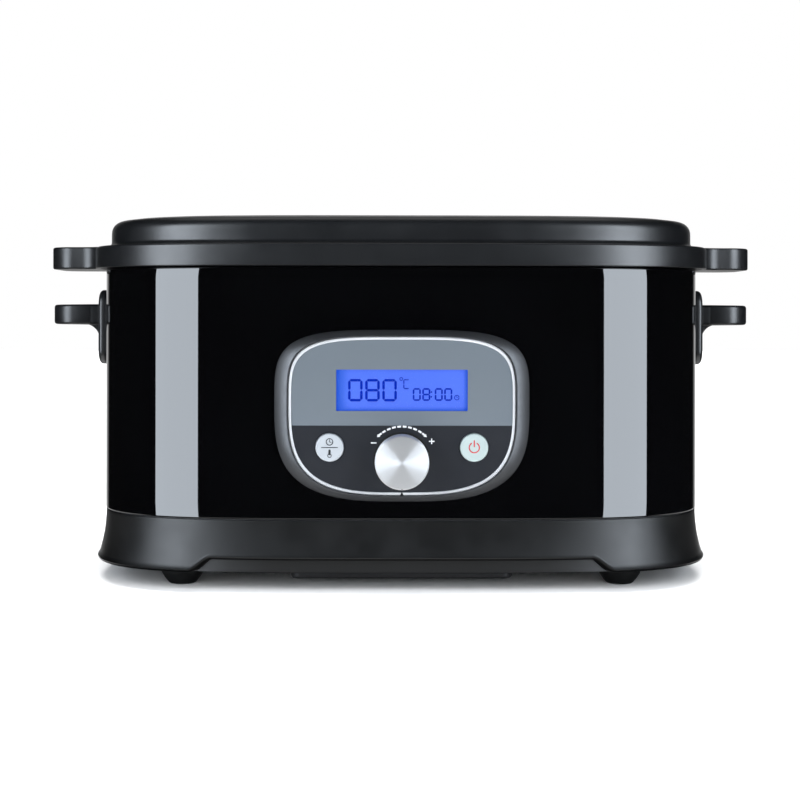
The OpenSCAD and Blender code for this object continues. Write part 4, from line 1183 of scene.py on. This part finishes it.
def build_face_marks():
    y = FACE_Y + 0.02
    marks = []
    radius = 18.1
    for side in (-1, 1):
        for start, end in ((36.6, 42.2), (28.8, 35.0), (19.4, 25.8), (10.4, 16.8), (1.4, 7.8)):
            a, b = sorted((90 + side * start, 90 + side * end))
            marks.append(ring_mark(0, KNOB_Z, radius, 1.0, a, b, y, 4))
        t = math.radians(90 + side * 42)
        out = Vector((math.cos(t), math.sin(t)))
        centre = Vector((radius * math.cos(t), KNOB_Z + radius * math.sin(t)))
        along = Vector((-math.sin(t), math.cos(t))) * side
        corners = [centre + along * 1.5, centre + out, centre - out]
        if side < 0:
            corners.reverse()
        marks.append(thin_mark([tuple(c) for c in corners], y - 0.01))
    minus_z, plus_z = KNOB_Z + 9.4, KNOB_Z + 10.3
    marks += [
        line_mark(-16.5, minus_z, -13.5, minus_z, 0.66, y),
        line_mark(14.3, plus_z, 17.3, plus_z, 0.62, y),
        line_mark(15.8, plus_z - 1.5, 15.8, plus_z + 1.5, 0.62, y - 0.01),
    ]
    piece = join("panel_marks", marks)
    finish_piece(piece, "housing", "silver_trim", degrees=0, material=WHITE_INK)

    ring_y = span("panel_trim_ring")[0][1]
    ring_z = PANEL_Z - PANEL_DOWN + RING_END + 0.7
    corners = [(-1.1, ring_z - 1.1), (1.1, ring_z - 1.1), (0, ring_z + 1.3)]
    pointer = thin_mark(corners, ring_y + 0.01, 0.12)
    pointer.name = "pointer_mark"
    finish_piece(pointer, "housing", "silver_trim", degrees=0, material=FINISH["component_black"])


def build_buttons():
    r = 7.5
    for side, name, slot in ((-1, "mode", "button_silver"), (1, "power", "button_pale_green")):
        node = "button_" + name
        low, high = span(node)
        front = low[1]
        profile = [(0.001, front + 0.18), (r * 0.55, front + 0.1), (r - 1.5, front + 0.02)]
        profile += bend(r - 0.9, front + 0.9, 0.9, 90, 0, 6, 1, -1)
        profile += [(r, FACE_Y + 2.4), (r + 1.2, FACE_Y + 2.4), (r + 1.2, FACE_Y + 3.3),
                    (2.4, FACE_Y + 3.3), (2.4, high[1]), (0.001, high[1])]
        cap = lathe(node + "_cap", profile, (side * BUTTON_X, 0, BUTTON_Z), "Y", 96, closed=False)
        finish_piece(cap, name + "_button", slot, [node], 40)
    front = span("button_mode")[0][1] + 0.1
    x, z = -BUTTON_X, BUTTON_Z
    marks = [
        line_mark(x - 4.4, z, x + 4.4, z, 0.4, front),
        ring_mark(x, z + 3.0, 1.75, 0.46, 0, 357, front),
        line_mark(x, z + 3.0, x, z + 4.3, 0.34, front),
        line_mark(x, z + 3.0, x + 1.0, z + 2.6, 0.34, front),
        ring_mark(x, z - 4.3, 0.95, 0.36, 115, 425, front),
        thin_mark(rounded_rectangle(1.1, 2.9, 0.5, 4, x, z - 2.5), front - 0.01),
    ]
    finish_piece(join("mode_marks", marks), "mode_button", "panel_print", degrees=0, material=GREY_INK)
    x, z = BUTTON_X, BUTTON_Z
    marks = [ring_mark(x, z, 2.7, 0.55, 118, 422, front), line_mark(x, z + 0.3, x, z + 3.9, 0.6, front)]
    finish_piece(join("power_marks", marks), "power_button", "panel_print", degrees=0, material=RED_INK)


def build_knob():
    low, high = span("knob_cap")
    r = (high[0] - low[0]) / 2
    # Painted shadow: a thin black ring, just proud of the face round the knob, stands in for the shadow gap
    # round it.
    profile = [(3.9, FACE_Y + 0.1), (3.9, FACE_Y - 0.08), (r + 1.1, FACE_Y - 0.08), (r + 1.25, FACE_Y + 0.1)]
    seat = lathe("knob_shadow_ring", profile, (0, 0, KNOB_Z), "Y", 120)
    finish_piece(seat, "housing", "component_black", degrees=30)
    front, back = low[1], high[1]
    inner = r - 1.0
    profile = [(0.001, front + 0.02), (inner, front + 0.02), (r - 0.62, front + 0.1),
               (r - 0.1, front + 0.62), (r, front + 0.8), (r, back - 0.5), (r - 0.2, back - 0.15),
               (r - 0.5, back), (inner, back), (inner, front + 1.6), (0.001, front + 1.6)]
    cap = lathe("knob_turned_cap", profile, (0, 0, KNOB_Z), "Y", 160, closed=False)
    spun = make_spun_face((0, front, KNOB_Z))
    finish_piece(cap, "knob", "knob_aluminium", ["knob_cap"], 24, material=spun)
    notch = thin_mark(bar_outline(0, KNOB_Z - r + 0.95, 0, KNOB_Z - r + 0.3, 0.6), front + 0.5, 0.35)
    notch.name = "knob_index"
    finish_piece(notch, "knob", "component_black", degrees=0)


# ---- Carried-over CAD nodes ----


def dress_cad_nodes():
    """Gives each CAD node that stays the finish of its own material slot."""
    slots = {s["node"]: s["material_slot"] for s in frame["record"]["subparts"]}
    for node, obj in frame["nodes"].items():
        material = FINISH.get(slots[node])
        if material is None:
            continue
        if obj.data.materials:
            for k in range(len(obj.data.materials)):
                obj.data.materials[k] = material
        else:
            obj.data.materials.append(material)


# ---- Stage ----

FLOOR_SIZE = 6.0
WORLD_FRONT = 0.006
WORLD_BACK = 1.0
STRIP_POWER = 18.7
STRIP_SIZE = (0.678, 1.6)
STRIP_Z = 0.35
STRIP_DISTANCE = 1.45
STRIP_AZIMUTH = math.radians(46)
STRIP_TINT = (0.915, 1.0, 1.1)
KICKER_Z = 0.001
KICKER_FRONT_POWER = 0.06
KICKER_SIDE_POWER = 0.07
OVERHEAD_POWER = 2.6
FLOOR_TOP_STRENGTH = 3.6
FLOOR_FRONT_STRENGTH = 3.8
CAMERA_LENS = 73.26
CAMERA_SHIFT = (-0.0008, -0.1045)
CAMERA_DISTANCE = 993
CAMERA_HEIGHT = 148
CAMERA_YAW = 0.006
CAMERA_ROLL = 0.0015


def build_floor():
    """Matt white floor that glossy reflections pass through."""
    corners = [(x * FLOOR_SIZE, y * FLOOR_SIZE, 0) for x, y in ((-1, -1), (1, -1), (1, 1), (-1, 1))]
    data = bpy.data.meshes.new("floor")
    data.from_pydata(corners, [], [(0, 1, 2, 3)])
    floor = new_object("floor", data)
    made = Shader("floor_paint", (0.93, 0.93, 0.93), 0.9, Specular_IOR_Level=0.0)
    made.mottle(2, (0.925, 0.925, 0.925), (0.935, 0.935, 0.935))
    data.materials.append(made.material)
    floor.visible_glossy = False


def build_world():
    """White to the camera; it lights the object almost only from behind."""
    world = bpy.data.worlds.new("studio")
    bpy.context.scene.world = world
    world.use_nodes = True
    tree = world.node_tree
    tree.nodes.clear()
    out, mix, ray, plain, lit, coord, split, ramp = [
        tree.nodes.new("ShaderNode" + kind)
        for kind in ("OutputWorld", "MixShader", "LightPath", "Background", "Background", "TexCoord",
                     "SeparateXYZ", "MapRange")
    ]
    plain.inputs["Color"].default_value = (1, 1, 1, 1)
    for key, value in (("From Min", 0.84), ("From Max", 0.96),
                       ("To Min", WORLD_FRONT), ("To Max", WORLD_BACK)):
        ramp.inputs[key].default_value = value
    for output, target in (
        (coord.outputs["Generated"], split.inputs[0]),
        (split.outputs["Y"], ramp.inputs["Value"]),
        (ramp.outputs["Result"], lit.inputs["Strength"]),
        (ray.outputs["Is Camera Ray"], mix.inputs["Fac"]),
        (lit.outputs[0], mix.inputs[1]),
        (plain.outputs[0], mix.inputs[2]),
        (mix.outputs[0], out.inputs["Surface"]),
    ):
        tree.links.new(output, target)


def area_light(name, where, aim, size, power, colour=(1, 1, 1)):
    data = bpy.data.lights.new(name, "AREA")
    data.shape = "RECTANGLE"
    data.size, data.size_y = size
    data.energy = power
    data.color = colour
    lamp = new_object(name, data)
    lamp.location = where
    lamp.rotation_euler = (Vector(aim) - Vector(where)).to_track_quat("-Z", "Y").to_euler()
    lamp.visible_camera = False


def floor_sun(name, elevation, strength, only):
    """Soft sun that lights the floor alone, coming from the front at this elevation."""
    data = bpy.data.lights.new(name, "SUN")
    data.energy = strength
    data.angle = math.radians(48)
    lamp = new_object(name, data)
    lamp.rotation_euler = (math.radians(90 - elevation), 0, 0)
    lamp.light_linking.receiver_collection = only


def build_lights():
    """Two tall strips beside the camera, low kickers round the foot, one overhead, and the floor's suns."""
    for side, name in SIDES:
        x = side * STRIP_DISTANCE * math.sin(STRIP_AZIMUTH)
        y = -STRIP_DISTANCE * math.cos(STRIP_AZIMUTH)
        area_light("strip_" + name, (x, y, STRIP_Z), (0, 0, STRIP_Z), STRIP_SIZE, STRIP_POWER, STRIP_TINT)
    y = (MID_Y - HALF_D - SKIRT_OUT) * MM - 0.055
    area_light("kicker_front", (0, y, KICKER_Z), (0, y, 1), (0.36, 0.09), KICKER_FRONT_POWER)
    for side, name in SIDES:
        x = side * ((HALF_W + SKIRT_OUT) * MM + 0.05)
        area_light("kicker_" + name, (x, 0, KICKER_Z), (x, 0, 1), (0.09, 0.24), KICKER_SIDE_POWER)
    area_light("overhead", (0, 0.5, 1.6), (0, 0, 0), (1.3, 1.1), OVERHEAD_POWER)
    only = bpy.data.collections.new("floor_only")
    only.objects.link(bpy.data.objects["floor"])
    floor_sun("floor_top", 90, FLOOR_TOP_STRENGTH, only)
    floor_sun("floor_front", 25, FLOOR_FRONT_STRENGTH, only)


def build_camera():
    """Level camera in front of the panel; the shift frames the object as it stands."""
    data = bpy.data.cameras.new("camera")
    camera = new_object("camera", data)
    data.sensor_width = 36
    data.lens = CAMERA_LENS
    data.shift_x, data.shift_y = CAMERA_SHIFT
    x = -CAMERA_DISTANCE * math.sin(CAMERA_YAW)
    y = MID_Y - CAMERA_DISTANCE * math.cos(CAMERA_YAW)
    camera.location = (x * MM, y * MM, CAMERA_HEIGHT * MM)
    camera.rotation_euler = (math.radians(90), -CAMERA_ROLL, -CAMERA_YAW)
    data.clip_end = 50
    bpy.context.scene.camera = camera
    bpy.context.scene.view_settings.view_transform = "Standard"


dress_cad_nodes()
build_base()
build_feet()
build_underside()
build_wrap()
build_collar()
build_handles()
build_inlet()
build_lid()
build_lid_grips()
build_lid_inside()
build_pot()
build_rack()
build_bezel()
build_ring()
build_face()
build_display_marks()
build_face_marks()
build_buttons()
build_knob()
build_floor()
build_world()
build_lights()
build_camera()
